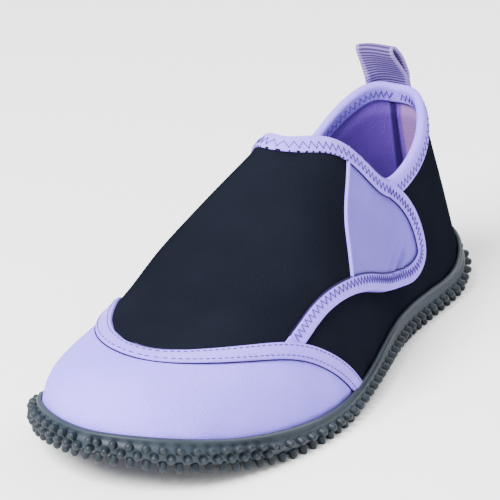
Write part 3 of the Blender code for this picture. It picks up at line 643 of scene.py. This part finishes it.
# The front row is closed across the tip, each vertex to its own across from it
front_row = sorted(cap_grid, key=lambda vert: vert.index)[-CAP_COLUMNS - 1:]
for k in range(CAP_COLUMNS // 2):
    faces = front_row[k], front_row[k + 1], front_row[-k - 2], front_row[-k - 1]
    cap.faces.new([vert for n, vert in enumerate(faces) if vert not in faces[:n]]).smooth = True
toe_cap = finish_piece("toe_cap_panel", cap, [lilac_textile.material], (0.3, 0, 0.1))
thicken(toe_cap, CAP, -1)
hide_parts("toe_cap")


# Toe band: an elastic tape laid over the joint of toe cap and vamp, with both its ends in the sole. A line of
# stitches holds it near each edge and presses a shallow trough into it.
TAPE = 0.0010
TAPE_WIDTH = 0.0065
TAPE_EDGE = 0.0007
TAPE_CROWN = 0.10
BAND_STITCH = 0.0012


def tape(name, path, profile, material):
    """A closed strip along a path. The profile gives widths and lifts, a row for each place of the path."""
    widths, lifts = profile(*path.T)
    angle, turn = slide(*path.T[..., None], side_of(path)[:, None] * widths[..., None])
    girth = run_length(np.stack([widths[0], lifts[0]], -1))
    marks = np.stack(np.broadcast_arrays(girth[:, None], run_length(form(*path.T))), -1)
    bm = bmesh.new()
    lay_table(bm, skin(angle, turn, lifts).swapaxes(0, 1), marks)
    bmesh.ops.remove_doubles(bm, verts=bm.verts, dist=2e-6)
    bmesh.ops.holes_fill(bm, edges=[edge for edge in bm.edges if edge.is_boundary], sides=0)
    return finish_piece(name, bm, [material])


def raised():
    """Outline of a tape, flat under and gently crowned: widths with the four under it last, and its rise."""
    share = np.linspace(0, 1, 15)
    across = share * TAPE_WIDTH
    round_off = 1 - np.clip(np.minimum(across, TAPE_WIDTH - across) / TAPE_EDGE, 0, 1)
    rise = np.sqrt(1 - round_off ** 2) * (1 + TAPE_CROWN * np.sin(pi * share))
    return np.concatenate([across, [TAPE_WIDTH, TAPE_WIDTH / 2, 0, 0]]), rise


def band_profile(angle, turn):
    widths, rise = raised()
    lifts = np.concatenate([GAP + 0.1 * TAPE + rise * TAPE * 0.9, [0.0, 0.0, 0.0, GAP]])
    dip = sum(np.exp(-((widths - seam) / 0.0005) ** 2) for seam in (BAND_STITCH, TAPE_WIDTH - BAND_STITCH))
    lifts = lifts - 0.00022 * dip * (lifts > 0.0008)
    return np.tile(widths, (len(angle), 1)), np.tile(lifts, (len(angle), 1))


def over_lip(path, margin):
    """The stretch of a path that stands above the cup's lip by a margin."""
    return path[form(*path.T)[:, 2] > lip_height(path[:, 0], path[:, 1] <= QUARTER) + margin]


lilac_tape = jersey("lilac_tape", (0.250, 0.165, 0.82), (0.305, 0.205, 0.90), (0.40, 0.30, 0.95))
band_path = even(over_lip(cap_edge, -0.0005), 0.0014)
toe_band = tape("toe_band_tape", band_path, band_profile, lilac_tape.material)
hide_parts("toe_band")


def spun(name, colour, roughness, gloss):
    """Spun polyester sewing thread, with a fine twist in its surface."""
    finish = Finish(name, colour, roughness, Specular_IOR_Level=gloss)
    finish.bump((finish.noise(3000.0, 2.0), 0.0001))
    return finish


purple_thread = spun("purple_thread", (0.048, 0.022, 0.20), 0.65, 0.2)
# Painted shadow: the dark cords laid along the tapes' edges stand in for the shade where a tape meets the
# cloth, not for a sewn hem.
painted_seam_shadow_thread = spun("painted_seam_shadow_thread", (0.015, 0.008, 0.050), 0.7, 0.1)
SEWING, SHADOW_LINE_OFFSET = 0.00024, 0.0002
ZIGZAG_PITCH = 0.0027


def sewn(name, runs, thread=purple_thread, radius=SEWING):
    """Thread along runs of points, as round strands joined in one mesh."""
    strand = bpy.data.curves.new(name, "CURVE")
    strand.dimensions = "3D"
    strand.bevel_depth = radius
    strand.bevel_resolution = 1
    strand.use_fill_caps = True
    for points in runs:
        spline = strand.splines.new("POLY")
        spline.points.add(len(points) - 1)
        for point, place in zip(spline.points, points + MOVED):
            point.co = (*place, 1)
    drawn = put(name + "_run", strand)
    bpy.context.view_layer.update()
    mesh = bpy.data.meshes.new_from_object(drawn.evaluated_get(bpy.context.evaluated_depsgraph_get()))
    bpy.data.objects.remove(drawn)
    mesh.name = name
    mesh.materials.clear()
    mesh.materials.append(thread.material)
    mesh.shade_smooth()
    piece = put(name, mesh)
    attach(piece, "root")


def beside(path, widths, lifts):
    """Places beside a path over the skin, at widths to its right and lifts off the skin."""
    angle, turn = slide(*path.T, side_of(path) * np.asarray(widths)[:, None])
    return skin(angle, turn, lifts)


def laid(path, width, lift_of):
    """One even strand at a width beside a path, lifted as the cloth under it is: the thin dark cord painted
    as shadow along a tape's edge.
    """
    steps = even(path, 0.0012)
    angle, turn = slide(*steps.T, side_of(steps) * width)
    return skin(angle, turn, lift_of(angle, turn))


def zigzag(path, low, high, lift_of):
    """One zigzag run between two widths. The lift may change along the path."""
    steps = even(path, ZIGZAG_PITCH / 2)
    odd = np.arange(len(steps)) % 2
    return beside(steps, np.where(odd, high, low), lift_of(*steps.T))


def backstitch(path, width, lift_of, stitch=0.0016, bridge=0.0007):
    """Short straight stitches along a path, with a little of the tape showing between them."""
    fine_step = 0.0003
    fine = even(path, fine_step)
    length = np.arange(len(fine)) * fine_step
    at = beside(fine, np.full(len(fine), width), lift_of(*fine.T))
    number = np.floor(length / (stitch + bridge)).astype(int)
    held = length - number * (stitch + bridge) < stitch
    runs = [at[(number == k) & held][::2] for k in range(number.max() + 1)]
    return [run for run in runs if len(run) > 1]


def flat(amount):
    return lambda angle, turn: np.full(np.shape(angle), amount)


def over_layer(amount):
    return lambda angle, turn: layer(angle, turn) + amount


shown_band = over_lip(band_path, 0.0006)
for place, width in (("rear", 0.0013), ("front", TAPE_WIDTH - 0.0013)):
    runs = backstitch(shown_band, width, flat(GAP + TAPE))
    sewn("toe_band_stitches_" + place, runs, radius=0.00016)
# Painted shadow: a thin dark cord along the toe band's edge.
sewn("toe_band_painted_edge_shadow", [laid(shown_band, TAPE_WIDTH + SHADOW_LINE_OFFSET, flat(0.0004))], painted_seam_shadow_thread)

# Closure flap: the lilac end panel of the vamp, sewn to it along a raised seam. It lies over the outer
# quarter and is closed there by hook and loop beneath, which doesn't show.
PANEL_EDGE = 0.0030
SEAM_AHEAD = 0.008
flap_steps = even(flap_edge, 0.0014)
panel_rear = np.stack(slide(*flap_steps.T, side_of(flap_steps) * PANEL_EDGE), -1)
panel_rear = panel_rear[panel_rear[:, 0] < flap_seam(panel_rear[:, 1]) + SEAM_AHEAD]
seam_turns = np.linspace(FLAP_SEAM[-1][0] * QUARTER, panel_rear[-1, 1], 200)
seam_path = np.stack([flap_seam(seam_turns) + SEAM_AHEAD, seam_turns], -1)


# Soft diagonal wrinkles low on the panel, where it pulls on its closure
PANEL_CREASES = [
    (SIDE, (0.400, 0.292), (0.286, 0.392), -0.0016, 0.0010),
    (SIDE, (0.402, 0.315), (0.296, 0.412), 0.0014, 0.0015),
    (SIDE, (0.376, 0.278), (0.276, 0.366), 0.0013, 0.0015),
    (SIDE, (0.420, 0.370), (0.330, 0.440), 0.0006, 0.0022),
]


def along_path(path, share):
    return np.stack([np.interp(share, np.linspace(0, 1, len(path)), row) for row in path.T], -1)


def panel_lift(angle, turn):
    """The panel's face over the skin. Its troughs stop above the neoprene beneath."""
    creases = all_creases(form(angle, turn), PANEL_CREASES)
    return layer(angle, turn) + np.maximum(creases, -0.0005) + 0.0001


def piping_profile(angle, turn):
    """A small round ridge of tape over the seam."""
    bend = np.linspace(0, pi, 7)
    widths = np.concatenate([0.0006 - 0.0007 * np.cos(bend), [0.0006, -0.0001]])
    low = layer(angle, turn)[:, None] - 0.0004
    lifts = np.concatenate([low + 0.0004 + 0.0010 * np.sin(bend), low, low + 0.0004], 1)
    return np.tile(widths, (len(angle), 1)), lifts


def lay_panel(across, along):
    front, rear = along_path(even(seam_path, 0.001), along), along_path(even(panel_rear, 0.001), along)
    at = front + (rear - front) * across[:, None]
    angle = at[:, 0]
    turn = np.minimum(at[:, 1], turn_at(angle, 1, collars[1](angle)) - 0.004)
    from_seam = np.abs(beyond(angle, turn, even(seam_path, 0.001)))
    edge = np.exp(-(from_seam / 0.0013) ** 2)
    return skin(angle, turn, panel_lift(angle, turn) + 0.0005 * edge)


panel = bmesh.new()
lay(panel, 90, 110, lay_panel)
# Painted shade: the panel's lilac is a darker copy of the toe cap's lilac textile, standing in for the shade
# on the outer quarter.
painted_shade_lilac_panel = jersey("painted_shade_lilac_panel", (0.135, 0.095, 0.50), (0.170, 0.120, 0.60), (0.25, 0.19, 0.70))
closure_flap = finish_piece("closure_flap_panel", panel, [painted_shade_lilac_panel.material], (-0.03, 0.3, 0.12))
thicken(closure_flap, CAP, -1)
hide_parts("closure_flap")
piping_path = even(seam_path, 0.0012)
collar_turns = turn_at(piping_path[:, 0], 1, collars[1](piping_path[:, 0]))
piping_path = piping_path[piping_path[:, 1] < collar_turns - 0.05]
piping = tape("closure_flap_piping", piping_path, piping_profile, lilac_tape.material)

# Collar bindings: elastic tape folded over the cut edge of the neoprene, in a rear and a front length. Each
# is sewn through with a zigzag stitch, and its hem is drawn down by small dark bites. Over the panel a thin
# dark cord along its hem is painted shadow.
NOTCH, SPLIT = FLAP_EDGE[0][0], 0.30
FOLD_EASE = 0.0003
FOLDED = 0.0007
FOLD_START = 0.0008
OVER_WALL = 0.0004


def folded(over):
    """Outline of a folded tape round the wall's edge, from its outer hem over the fold to its inner hem."""
    over = np.asarray(over, float)[:, None]
    under = np.full_like(over, -RIM_WALL - FOLD_EASE)
    hem = np.append(TAPE_WIDTH, np.linspace(TAPE_WIDTH, FOLD_START, 9))
    face = FOLDED * np.array([0.0, 0.72] + [1.0] * 8)
    crown = 0.00018 * np.sin(pi * hem / TAPE_WIDTH)
    bend = np.linspace(0, pi, 11)[1:-1]
    half_height = (over - under) / 2 + FOLDED
    fold = FOLD_START - np.sin(bend) * (FOLD_EASE + FOLDED + FOLD_START)
    widths = np.concatenate([hem, fold, hem[::-1], [0.0, 0.0, TAPE_WIDTH]])
    lifts = np.concatenate([over + face + crown, (over + under) / 2 + half_height * np.cos(bend),
                            under - face[::-1], under, over - 0.0002, over], 1)
    return np.tile(widths, (len(over), 1)), lifts


def rear_profile(angle, turn):
    return folded(np.full(len(angle), OVER_WALL))


def front_profile(angle, turn):
    return folded(layer(angle, turn) + OVER_WALL)


rear_outer = collar_path(np.linspace(NOTCH - 0.006, 0, 400), 1)
rear_inner = collar_path(np.linspace(0, SPLIT, 400), -1)
rear_path = np.concatenate([even(rear_outer, 0.0014), even(rear_inner, 0.0014)[1:]])
rear_binding = tape("collar_binding_rear_tape", rear_path, rear_profile, lilac_tape.material)
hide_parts("collar_binding_rear")
front_path = even(np.concatenate([collar_path(np.linspace(SPLIT + 0.0013, THROAT, 400), -1),
                                  collar_path(np.linspace(THROAT, NOTCH, 400)[1:], 1)]), 0.0014)
front_binding = tape("collar_binding_front_tape", front_path, front_profile, lilac_tape.material)
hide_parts("collar_binding_front")
rear_lift = flat(OVER_WALL + FOLDED + 0.0002)
inner_lift = flat(-RIM_WALL - FOLD_EASE - FOLDED - 0.0001)
front_lift = over_layer(OVER_WALL + FOLDED + 0.0002)
bite_lift = over_layer(OVER_WALL + FOLDED - 0.0003)
zigzags = ("rear", (rear_outer[:-1], rear_inner[1:]), rear_lift), ("front", (front_path,), front_lift)
for name, paths, lift_of in zigzags:
    for place, low, high, lift in (("outer", 0.0024, 0.0052, lift_of), ("inner", 0.0018, 0.0046, inner_lift)):
        runs = [zigzag(path, low, high, lift) for path in paths]
        sewn("collar_zigzag_" + name + "_" + place, runs)
black_thread = spun("black_thread", (0.004, 0.004, 0.008), 0.8, 0.05)
past_panel = (front_path[:, 1] > QUARTER) | (front_path[:, 0] > seam_angle(0.7 * QUARTER) + 0.02)
bites = backstitch(front_path[past_panel], TAPE_WIDTH - 0.0002, bite_lift, 0.0009, 0.0014)
sewn("collar_edge_bites", bites, black_thread, 0.00036)


def shadow_line_lift(angle, turn):
    return panel_lift(angle, turn) + 0.0005


# Painted shadow: a thin dark cord along the front binding's hem over the panel.
collar_shadow_line = laid(front_path[~past_panel], TAPE_WIDTH + SHADOW_LINE_OFFSET, shadow_line_lift)
sewn("collar_painted_edge_shadow", [collar_shadow_line], painted_seam_shadow_thread)


# Flap binding: the same tape along the free edge of the flap, crossing over the rear binding at the notch and
# running forward along the vamp's edge to the toe band.
def flap_profile(angle, turn):
    """The tape over the vamp's edge. It thins where it runs in under the toe band."""
    widths, rise = raised()
    under_band = fade(angle - cap_angle(turn), 0.020, -0.010)[:, None]
    top = layer(angle, turn)[:, None] + GAP + TAPE * (1 - 0.6 * under_band)
    over = GAP + (top - GAP) * np.clip(rise, 0, 1) + 0.0003 * np.clip(rise - 1, 0, 1)
    count = len(angle)
    lifts = np.concatenate([over, np.full((count, 3), GAP), over[:, :1]], 1)
    return np.tile(widths, (count, 1)), lifts


run_on = flap_steps[-1] + (flap_steps[-1] - flap_steps[-3]) / 2 * np.arange(1, 16)[:, None]
run_on = run_on[run_on[:, 0] < cap_angle(run_on[:, 1]) + 0.080]
flap_path = np.concatenate([flap_steps, run_on])
flap_binding = tape("flap_binding_tape", flap_path, flap_profile, lilac_tape.material)
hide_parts("flap_binding")
flap_zigzag = zigzag(flap_steps, 0.0030, 0.0056, over_layer(GAP + TAPE + 0.00012))
sewn("flap_zigzag", [flap_zigzag])
# Painted shadow: a thin dark cord along the flap binding's hem.
sewn("flap_painted_edge_shadow", [laid(flap_steps, TAPE_WIDTH + SHADOW_LINE_OFFSET, shadow_line_lift)], painted_seam_shadow_thread)

# Outsole: a rubber cup moulded in one, with a smooth lip round the upper's foot. Rows of round studs stand on
# its side, two to four high, and low ones under it carry the shoe.
SOLE_SWELL = 0.0030
LIP_EDGE = 0.0018
CUP_PITCH = 0.0064
SPINE_END = 0.11
SOLE_SIDE = [
    # height, reach
    (0.00, 0.45), (0.10, 0.78), (0.22, 0.95), (0.45, 1.00),
    (0.64, 0.88), (0.71, 0.66), (0.80, 0.62), (0.93, 0.66),
]
side_reach = curve(*np.array(SOLE_SIDE).T)


def moulded_rubber(name, dark, light):
    """Slate rubber with a cloudy worn tone and a fine matt grain."""
    finish = Finish(name, light, 0.55, Specular_IOR_Level=0.22)
    cloud, grain = finish.noise(60.0, 5.0), finish.noise(1400.0, 3.0)
    finish.colour(finish.blend(finish.ramp(cloud, 0.3, 0.7), (*dark, 1), (*light, 1)))
    finish.rough(finish.maths("ADD", finish.maths("MULTIPLY", cloud, 0.25), 0.36))
    finish.bump((cloud, 0.0006), (grain, 0.0001))
    return finish


cup_rubber = moulded_rubber("slate_rubber", (0.0160, 0.0240, 0.0325), (0.0240, 0.0345, 0.0460))
# Painted shade: the studs are moulded in one with the cup, and their rubber is a darker copy of its rubber,
# standing in for the shade among the pegs.
painted_shade_stud_rubber = moulded_rubber("painted_shade_stud_rubber", (0.0088, 0.0132, 0.0180), (0.0145, 0.0208, 0.0280))


def lip_line(angle, side):
    """Places along the cup's lip on the last, and unit vectors level off it."""
    def at(place):
        return form(place, turn_at(place, side, lips[side](place)))

    ahead = at(angle + PROBE) - at(angle - PROBE)
    away = np.stack([-ahead[..., 1], ahead[..., 0], np.zeros(np.shape(angle))], -1) * side
    return at(angle), unit(away)


def spine(angle):
    """Middle line under the foot, which stops short of heel and toe."""
    station = (1 - np.cos(angle) * (1 - 2 * SPINE_END)) / 2
    place = angle_of(station)
    middle = (outer_breadth(place) + inner_breadth(place)) / 2
    return np.stack([LAST_LENGTH * station, middle, np.zeros(np.shape(station))], -1)


def sole_columns(pitch, per_pitch):
    """Angles an even length apart along the lip, an even number of pitches from heel to toe."""
    fine = np.linspace(0, pi, 3000)
    length = run_length(lip_line(fine, 1)[0])
    count = 2 * int(round(length[-1] / pitch / 2)) * per_pitch
    return np.interp(np.linspace(0, length[-1], count + 1), length, fine)


def side_place(angle, side, height):
    """Place on the cup's side, the height a share from the cup's foot to its lip."""
    point, away = lip_line(angle, side)
    low, top = ground(angle, side) + STUD, lips[side](angle)
    place = point + away * (GAP + SOLE_SWELL * side_reach(height))[..., None]
    place[..., 2] = low + (top - low) * height
    return place


side_heights = np.linspace(0, 0.93, 15)
under_shares = [0.0, 0.2, 0.4, 0.6, 0.8, 0.93]
columns = sole_columns(CUP_PITCH, 3)
sole = bmesh.new()
for foot_side in (1, -1):
    point, away = lip_line(columns, foot_side)
    low, other = ground(columns, foot_side) + STUD, ground(columns, -foot_side) + STUD
    top = lips[foot_side](columns)
    middle = spine(columns)
    middle[:, 2] = (low + other) / 2
    corner = side_place(columns, foot_side, np.zeros(len(columns)))
    rings = [middle + (corner - middle) * share for share in under_shares]
    rings += [side_place(columns, foot_side, np.full(len(columns), height)) for height in side_heights]
    for out, drop in ((LIP_EDGE + 0.0001, 0.0005), (LIP_EDGE - 0.0005, 0.0), (0.0004, 0.0)):
        rim = point + away * (GAP + out)
        rim[:, 2] = top - drop
        rings.append(rim)
    for height in (top - 0.0002, (top + low + PLATE) / 2, low + PLATE):
        inner = skin(columns, turn_at(columns, foot_side, height), 1.3 * GAP)
        inner[:, 2] = height
        rings.append(inner)
    rings.append(middle + np.array([0, 0, PLATE]))
    lay_table(sole, np.array(rings))
outsole = finish_piece("outsole_cup", sole, [cup_rubber.material], (0, 0, -0.2))
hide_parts("outsole")

# One peg: a round stem, a little thicker at its root, with a domed tip
peg = bmesh.new()
bmesh.ops.create_uvsphere(peg, u_segments=12, v_segments=8, radius=1.0)
for vert in peg.verts:
    if vert.co.z < 0.05:
        ring = hypot(vert.co.x, vert.co.y)
        swell = (1.0 + 0.16 * min(1, 0.05 - vert.co.z)) / max(ring, 0.2) if ring > 0.05 else 0
        vert.co = Vector((vert.co.x * swell, vert.co.y * swell, 0.62 * (1 + vert.co.z)))
    else:
        vert.co.z = 0.62 + 0.38 * vert.co.z
for face in peg.faces:
    face.smooth = True
peg_mesh = bpy.data.meshes.new("peg")
peg.to_mesh(peg_mesh)
peg.free()
studs = bmesh.new()
PEG, PEG_RADIUS, PEG_SEAT = 0.0031, 0.0014, 0.0004
PEG_PITCH, ROW_SPACE, PEGS_REACH = 0.0053, 0.0033, 0.62
SOLE_STUD_RADIUS = 0.0019
SOLE_STUD_ROWS = [
    # share of the way from the middle to the cup's foot, pegs to the next one in the row
    (0.92, 2), (0.75, 2), (0.56, 2), (0.37, 3), (0.18, 4),
]
stud_columns = sole_columns(PEG_PITCH, 1)
stud_middles = (stud_columns[1:] + stud_columns[:-1]) / 2


def add_stud(centre, direction, height, radius):
    """Copies the peg with its root at a place and its tip along a direction."""
    turned = Vector(direction).to_track_quat("Z", "Y").to_matrix().to_4x4()
    turned.translation = Vector(centre + MOVED)
    copy = peg_mesh.copy()
    copy.transform(turned @ Matrix.Diagonal((radius, radius, height, 1)))
    studs.from_mesh(copy)
    bpy.data.meshes.remove(copy)


for foot_side in (1, -1):
    tall = lips[foot_side](stud_middles) - ground(stud_middles, foot_side) - STUD
    outer_share = fade(stud_middles, 1.9, 2.45) if foot_side > 0 else 0 * stud_middles
    reach_up = PEGS_REACH - 0.22 * outer_share
    row_counts = np.clip(np.rint(tall * reach_up / ROW_SPACE).astype(int) + 1, 2, 4)
    for row in range(4):
        stagger = row % 2 * (fade(stud_middles, 2.2, 1.9) if foot_side > 0 else 1)
        at = stud_middles + stagger * (stud_columns[1:] - stud_columns[:-1]) / 2
        at = np.minimum(at, pi)
        height = 0.04 + (reach_up - 0.05) * row / np.maximum(row_counts - 1, 1)
        base = side_place(at, foot_side, height)
        ahead = unit(side_place(at + PROBE, foot_side, height) - side_place(at - PROBE, foot_side, height))
        upward = unit(side_place(at, foot_side, height + 0.05) - side_place(at, foot_side, height - 0.05))
        normals = unit(np.cross(ahead, upward)) * foot_side
        flip = np.sign((normals * lip_line(at, foot_side)[1]).sum(-1))[:, None]
        normals = unit(normals * flip - np.array([0, 0, 0.35 if row == 0 else 0.12]))
        for k in np.flatnonzero(row < row_counts):
            add_stud(base[k] - normals[k] * PEG_SEAT, normals[k], PEG if row else PEG * 1.15, PEG_RADIUS)
    corner = side_place(stud_middles, foot_side, np.zeros(len(stud_middles)))
    middle = spine(stud_middles)
    middle[:, 2] = ((ground(stud_middles, 1) + ground(stud_middles, -1)) / 2) + STUD
    for share, every in SOLE_STUD_ROWS:
        for centre in (middle + (corner - middle) * share)[every // 2::every]:
            add_stud(centre, (0, 0, -1), STUD, SOLE_STUD_RADIUS)
for vert in studs.verts:
    vert.co.z = max(vert.co.z, 0)
sole_studs = finish_piece("outsole_studs", studs, [painted_shade_stud_rubber.material])
bpy.data.meshes.remove(peg_mesh)

# Insole: a soft foam bed faced with indigo jersey, die-cut to the last's floor and laid loose in the shoe.
# Its edges are pressed round and its top is a little dished under heel and ball.
INSOLE, INSOLE_MARGIN, INSOLE_DISH = 0.0030, 0.0010, 0.0005
TOE_WALL = 0.0014
CAP_FOOT, CAP_EASE = 0.545 * pi, 0.1


def insole_edge(angle, side):
    """The insole's edge on one side, at the height of its top."""
    top = bed(angle, side) + 2 * GAP + INSOLE
    toe_share = np.clip((angle - CAP_FOOT) / CAP_EASE + 1, 0, 1)
    depth = WALL + toe_share * (RECESS + TOE_WALL - WALL) + INSOLE_MARGIN
    place = skin(angle, turn_at(angle, side, top - INSOLE), -depth)
    return np.concatenate([place[..., :2], top[..., None]], -1)


def lay_insole(along, across):
    angle = pi * along
    inner, outer = insole_edge(angle, -1), insole_edge(angle, 1)
    place = inner + (outer - inner) * across[:, None]
    place[:, 2] -= INSOLE_DISH * np.sin(pi * across) * np.sin(angle)
    return place


pad = bmesh.new()
lay(pad, 90, 16, lay_insole)
bmesh.ops.remove_doubles(pad, verts=pad.verts, dist=1e-4)
bmesh.ops.recalc_face_normals(pad, faces=pad.faces)
if sum(face.normal.z for face in pad.faces) < 0:
    bmesh.ops.reverse_faces(pad, faces=pad.faces)
below = bmesh.ops.extrude_face_region(pad, geom=pad.faces[:], use_keep_orig=True)["geom"]
bmesh.ops.reverse_faces(pad, faces=[item for item in below if isinstance(item, bmesh.types.BMFace)])
low_verts = [item for item in below if isinstance(item, bmesh.types.BMVert)]
bmesh.ops.translate(pad, vec=(0, 0, INSOLE_DISH - INSOLE), verts=low_verts)
rim_edges = [edge for edge in pad.edges if len(edge.link_faces) == 2 and edge.calc_face_angle() > 0.9]
bmesh.ops.bevel(pad, geom=rim_edges, offset=0.0007, segments=3, profile=0.5, affect="EDGES", material=-1)
insole_jersey = jersey("insole_jersey", (0.040, 0.016, 0.19), (0.060, 0.026, 0.25),
                       (0.10, 0.06, 0.30), 0.8, 0.1)
insole = finish_piece("insole_pad", pad, [insole_jersey.material])
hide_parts("insole")

# Pull loop: a short length of ribbed webbing doubled over and sewn through both ends to the outside of the
# heel, behind the collar's binding. It leans a little to the inner side.
LOOP_WIDTH, LOOP_REACH, LOOP_BULGE = 0.0140, 0.0132, 0.0056
LOOP_PLACE, LOOP_START, LOOP_SEAT, LOOP_LEAN = -0.0045, 0.0027, 0.0080, 0.0032
WEBBING, RIB, YARN, SELVAGE = 0.0011, 0.00125, 0.0006, 0.0007
LOOP_SIDE = [
    # reach, bulge
    (-0.45, 0.24), (-0.10, 0.24), (0.00, 0.22), (0.25, 0.08), (0.60, -0.16),
    (0.86, -0.28), (0.96, -0.22), (1.00, -0.06), (0.98, 0.12), (0.90, 0.28),
    (0.60, 0.58), (0.25, 0.62), (0.00, 0.52), (-0.10, 0.46), (-0.45, 0.46),
]
webbing = Finish("ribbed_webbing", (0.2, 0.15, 0.4), 0.75, Specular_IOR_Level=0.15)
across_web = webbing.node("SeparateXYZ", Vector=webbing.node("UVMap")[0])
rib_wave = webbing.maths("SINE", webbing.maths("MULTIPLY", across_web[1], 2 * pi / RIB))
thread_wave = webbing.maths("SINE", webbing.maths("MULTIPLY", across_web[0], 2 * pi / YARN))
# Painted light: the ribs' crests are painted lighter as painted highlights and their grooves darker as
# painted shade, over the ribs' bump; the selvages are painted lighter still as a painted highlight.
rib_crest_and_highlight = webbing.ramp(rib_wave, -0.9, 0.7)
off_middle = webbing.maths("ABSOLUTE", webbing.maths("SUBTRACT", across_web[0], LOOP_WIDTH / 2))
selvage_highlight = webbing.ramp(off_middle, LOOP_WIDTH / 2 - 2 * SELVAGE, LOOP_WIDTH / 2 - SELVAGE)
rib_painted_light_tone = webbing.blend(rib_crest_and_highlight, (0.050, 0.032, 0.12, 1), (0.17, 0.12, 0.36, 1))
webbing.colour(webbing.blend(webbing.maths("MULTIPLY", selvage_highlight, 0.7), rib_painted_light_tone, (0.30, 0.22, 0.56, 1)))
webbing.bump((rib_crest_and_highlight, 0.00035), (thread_wave, 0.00008))


def at_rim(angle, side):
    return turn_at(angle, side, collars[side](angle))


heel_rim = form(0.0, at_rim(0.0, 1))
heel_below = form(0.0, turn_at(0.0, 1, collars[1](0.0) - LOOP_SEAT))
loop_up = unit(heel_rim - heel_below)
loop_off = outward(0.0, at_rim(0.0, 1))
heel_angles = np.linspace(0, 1, 400)
inner_rim = form(heel_angles, at_rim(heel_angles, -1))
loop_rim = inner_rim[np.abs(inner_rim[:, 1] - LOOP_PLACE).argmin()]
loop_rows = np.array(LOOP_SIDE)
loop_length = run_length(loop_rows * [LOOP_REACH, LOOP_BULGE])
loop_reach, loop_bulge = curve(loop_length, loop_rows[:, 0]), curve(loop_length, loop_rows[:, 1])


def lay_loop(across, along):
    """The foot of the loop follows the heel's curve, and its top is drawn flat and leans over."""
    y = LOOP_PLACE + (across - 0.5) * LOOP_WIDTH
    angle = np.zeros(len(y))
    for side in (1, -1):
        rim_y = np.abs(form(heel_angles, at_rim(heel_angles, side))[:, 1])
        angle = np.where(np.sign(y) == side, np.interp(np.abs(y), rim_y, heel_angles), angle)
    rim = form(angle, np.where(y >= 0, at_rim(angle, 1), at_rim(angle, -1)))
    at = along * loop_length[-1]
    reach = loop_reach(at)[:, None]
    rim = rim + (loop_rim - rim) * np.array([1, 0, 1]) * np.clip(reach * 0.75, 0, 0.6)
    lift = loop_up * (2 * TAPE + LOOP_REACH * reach) - np.array([0, LOOP_LEAN, 0]) * np.clip(reach, 0, 1)
    return rim + lift + loop_off * (LOOP_START + LOOP_BULGE * loop_bulge(at))[:, None]


def loop_cloth(across, along):
    return np.stack([across * LOOP_WIDTH, along * loop_length[-1]], -1)


loop = bmesh.new()
lay(loop, 28, 110, lay_loop, loop_cloth)
pull_loop = finish_piece("pull_loop_webbing", loop, [webbing.material])
thicken(pull_loop, WEBBING, 0)
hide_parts("pull_loop")
foot_line = np.linspace(0.06, 0.94, 61)
loop_runs = []
for before in (0.0016, 0.0046):
    row = lay_loop(foot_line, np.full(61, 1 - before / loop_length[-1])) + loop_off * (WEBBING / 2 + 0.0001)
    loop_runs += [row[k:k + 6] for k in range(0, 56, 8)]
sewn("pull_loop_stitches", loop_runs, radius=0.00022)

# Floor, lights and camera: a plain pale floor under even light, with one large soft lamp above the toe and
# two weak ones. The camera looks down on the shoe from its toe and outer side, as the photo does.
floor = bmesh.new()
bmesh.ops.create_grid(floor, x_segments=1, y_segments=1, size=6)
pale = Finish("pale_floor", (0.95, 0.95, 0.955), 0.9, Specular_IOR_Level=0.1)
ground_mesh = bpy.data.meshes.new("floor")
floor.to_mesh(ground_mesh)
floor.free()
ground_mesh.materials.append(pale.material)
put("floor", ground_mesh)
world = bpy.data.worlds.new("studio")
bpy.context.scene.world = world
world.use_nodes = True
world.node_tree.nodes["Background"].inputs["Color"].default_value = (1.0, 1.0, 1.0, 1)
world.node_tree.nodes["Background"].inputs["Strength"].default_value = 1.0


def soft_light(name, place, aim, size, watts):
    data = bpy.data.lights.new(name, "AREA")
    data.size = size
    data.energy = watts
    lamp = put(name, data)
    lamp.location = place
    lamp.rotation_euler = (Vector(aim) - Vector(place)).to_track_quat("-Z", "Y").to_euler()


soft_light("key", (0.95, -0.25, 1.10), (0, 0, 0.03), 0.8, 80)
soft_light("fill", (1.1, 0.9, 0.7), (0, 0, 0.03), 0.9, 5)
soft_light("rim", (-0.9, 0.3, 0.9), (0, 0, 0.05), 0.6, 12)

CAMERA = np.array([1.42466, 0.70358, 0.62048])
AIM = np.array([0.1230, -0.0085, 0.0440])
ROLL = -0.01595
LENS, SENSOR = 312.576, 36
view = bpy.data.cameras.new("camera")
view.lens = LENS
view.sensor_width = SENSOR
view.clip_end = 20
camera = put("camera", view)
camera.location = Vector(CAMERA + MOVED)
look = Vector(AIM - CAMERA).to_track_quat("-Z", "Y").to_matrix().to_4x4()
camera.rotation_euler = (look @ Matrix.Rotation(ROLL, 4, "Z")).to_euler()
bpy.context.scene.camera = camera
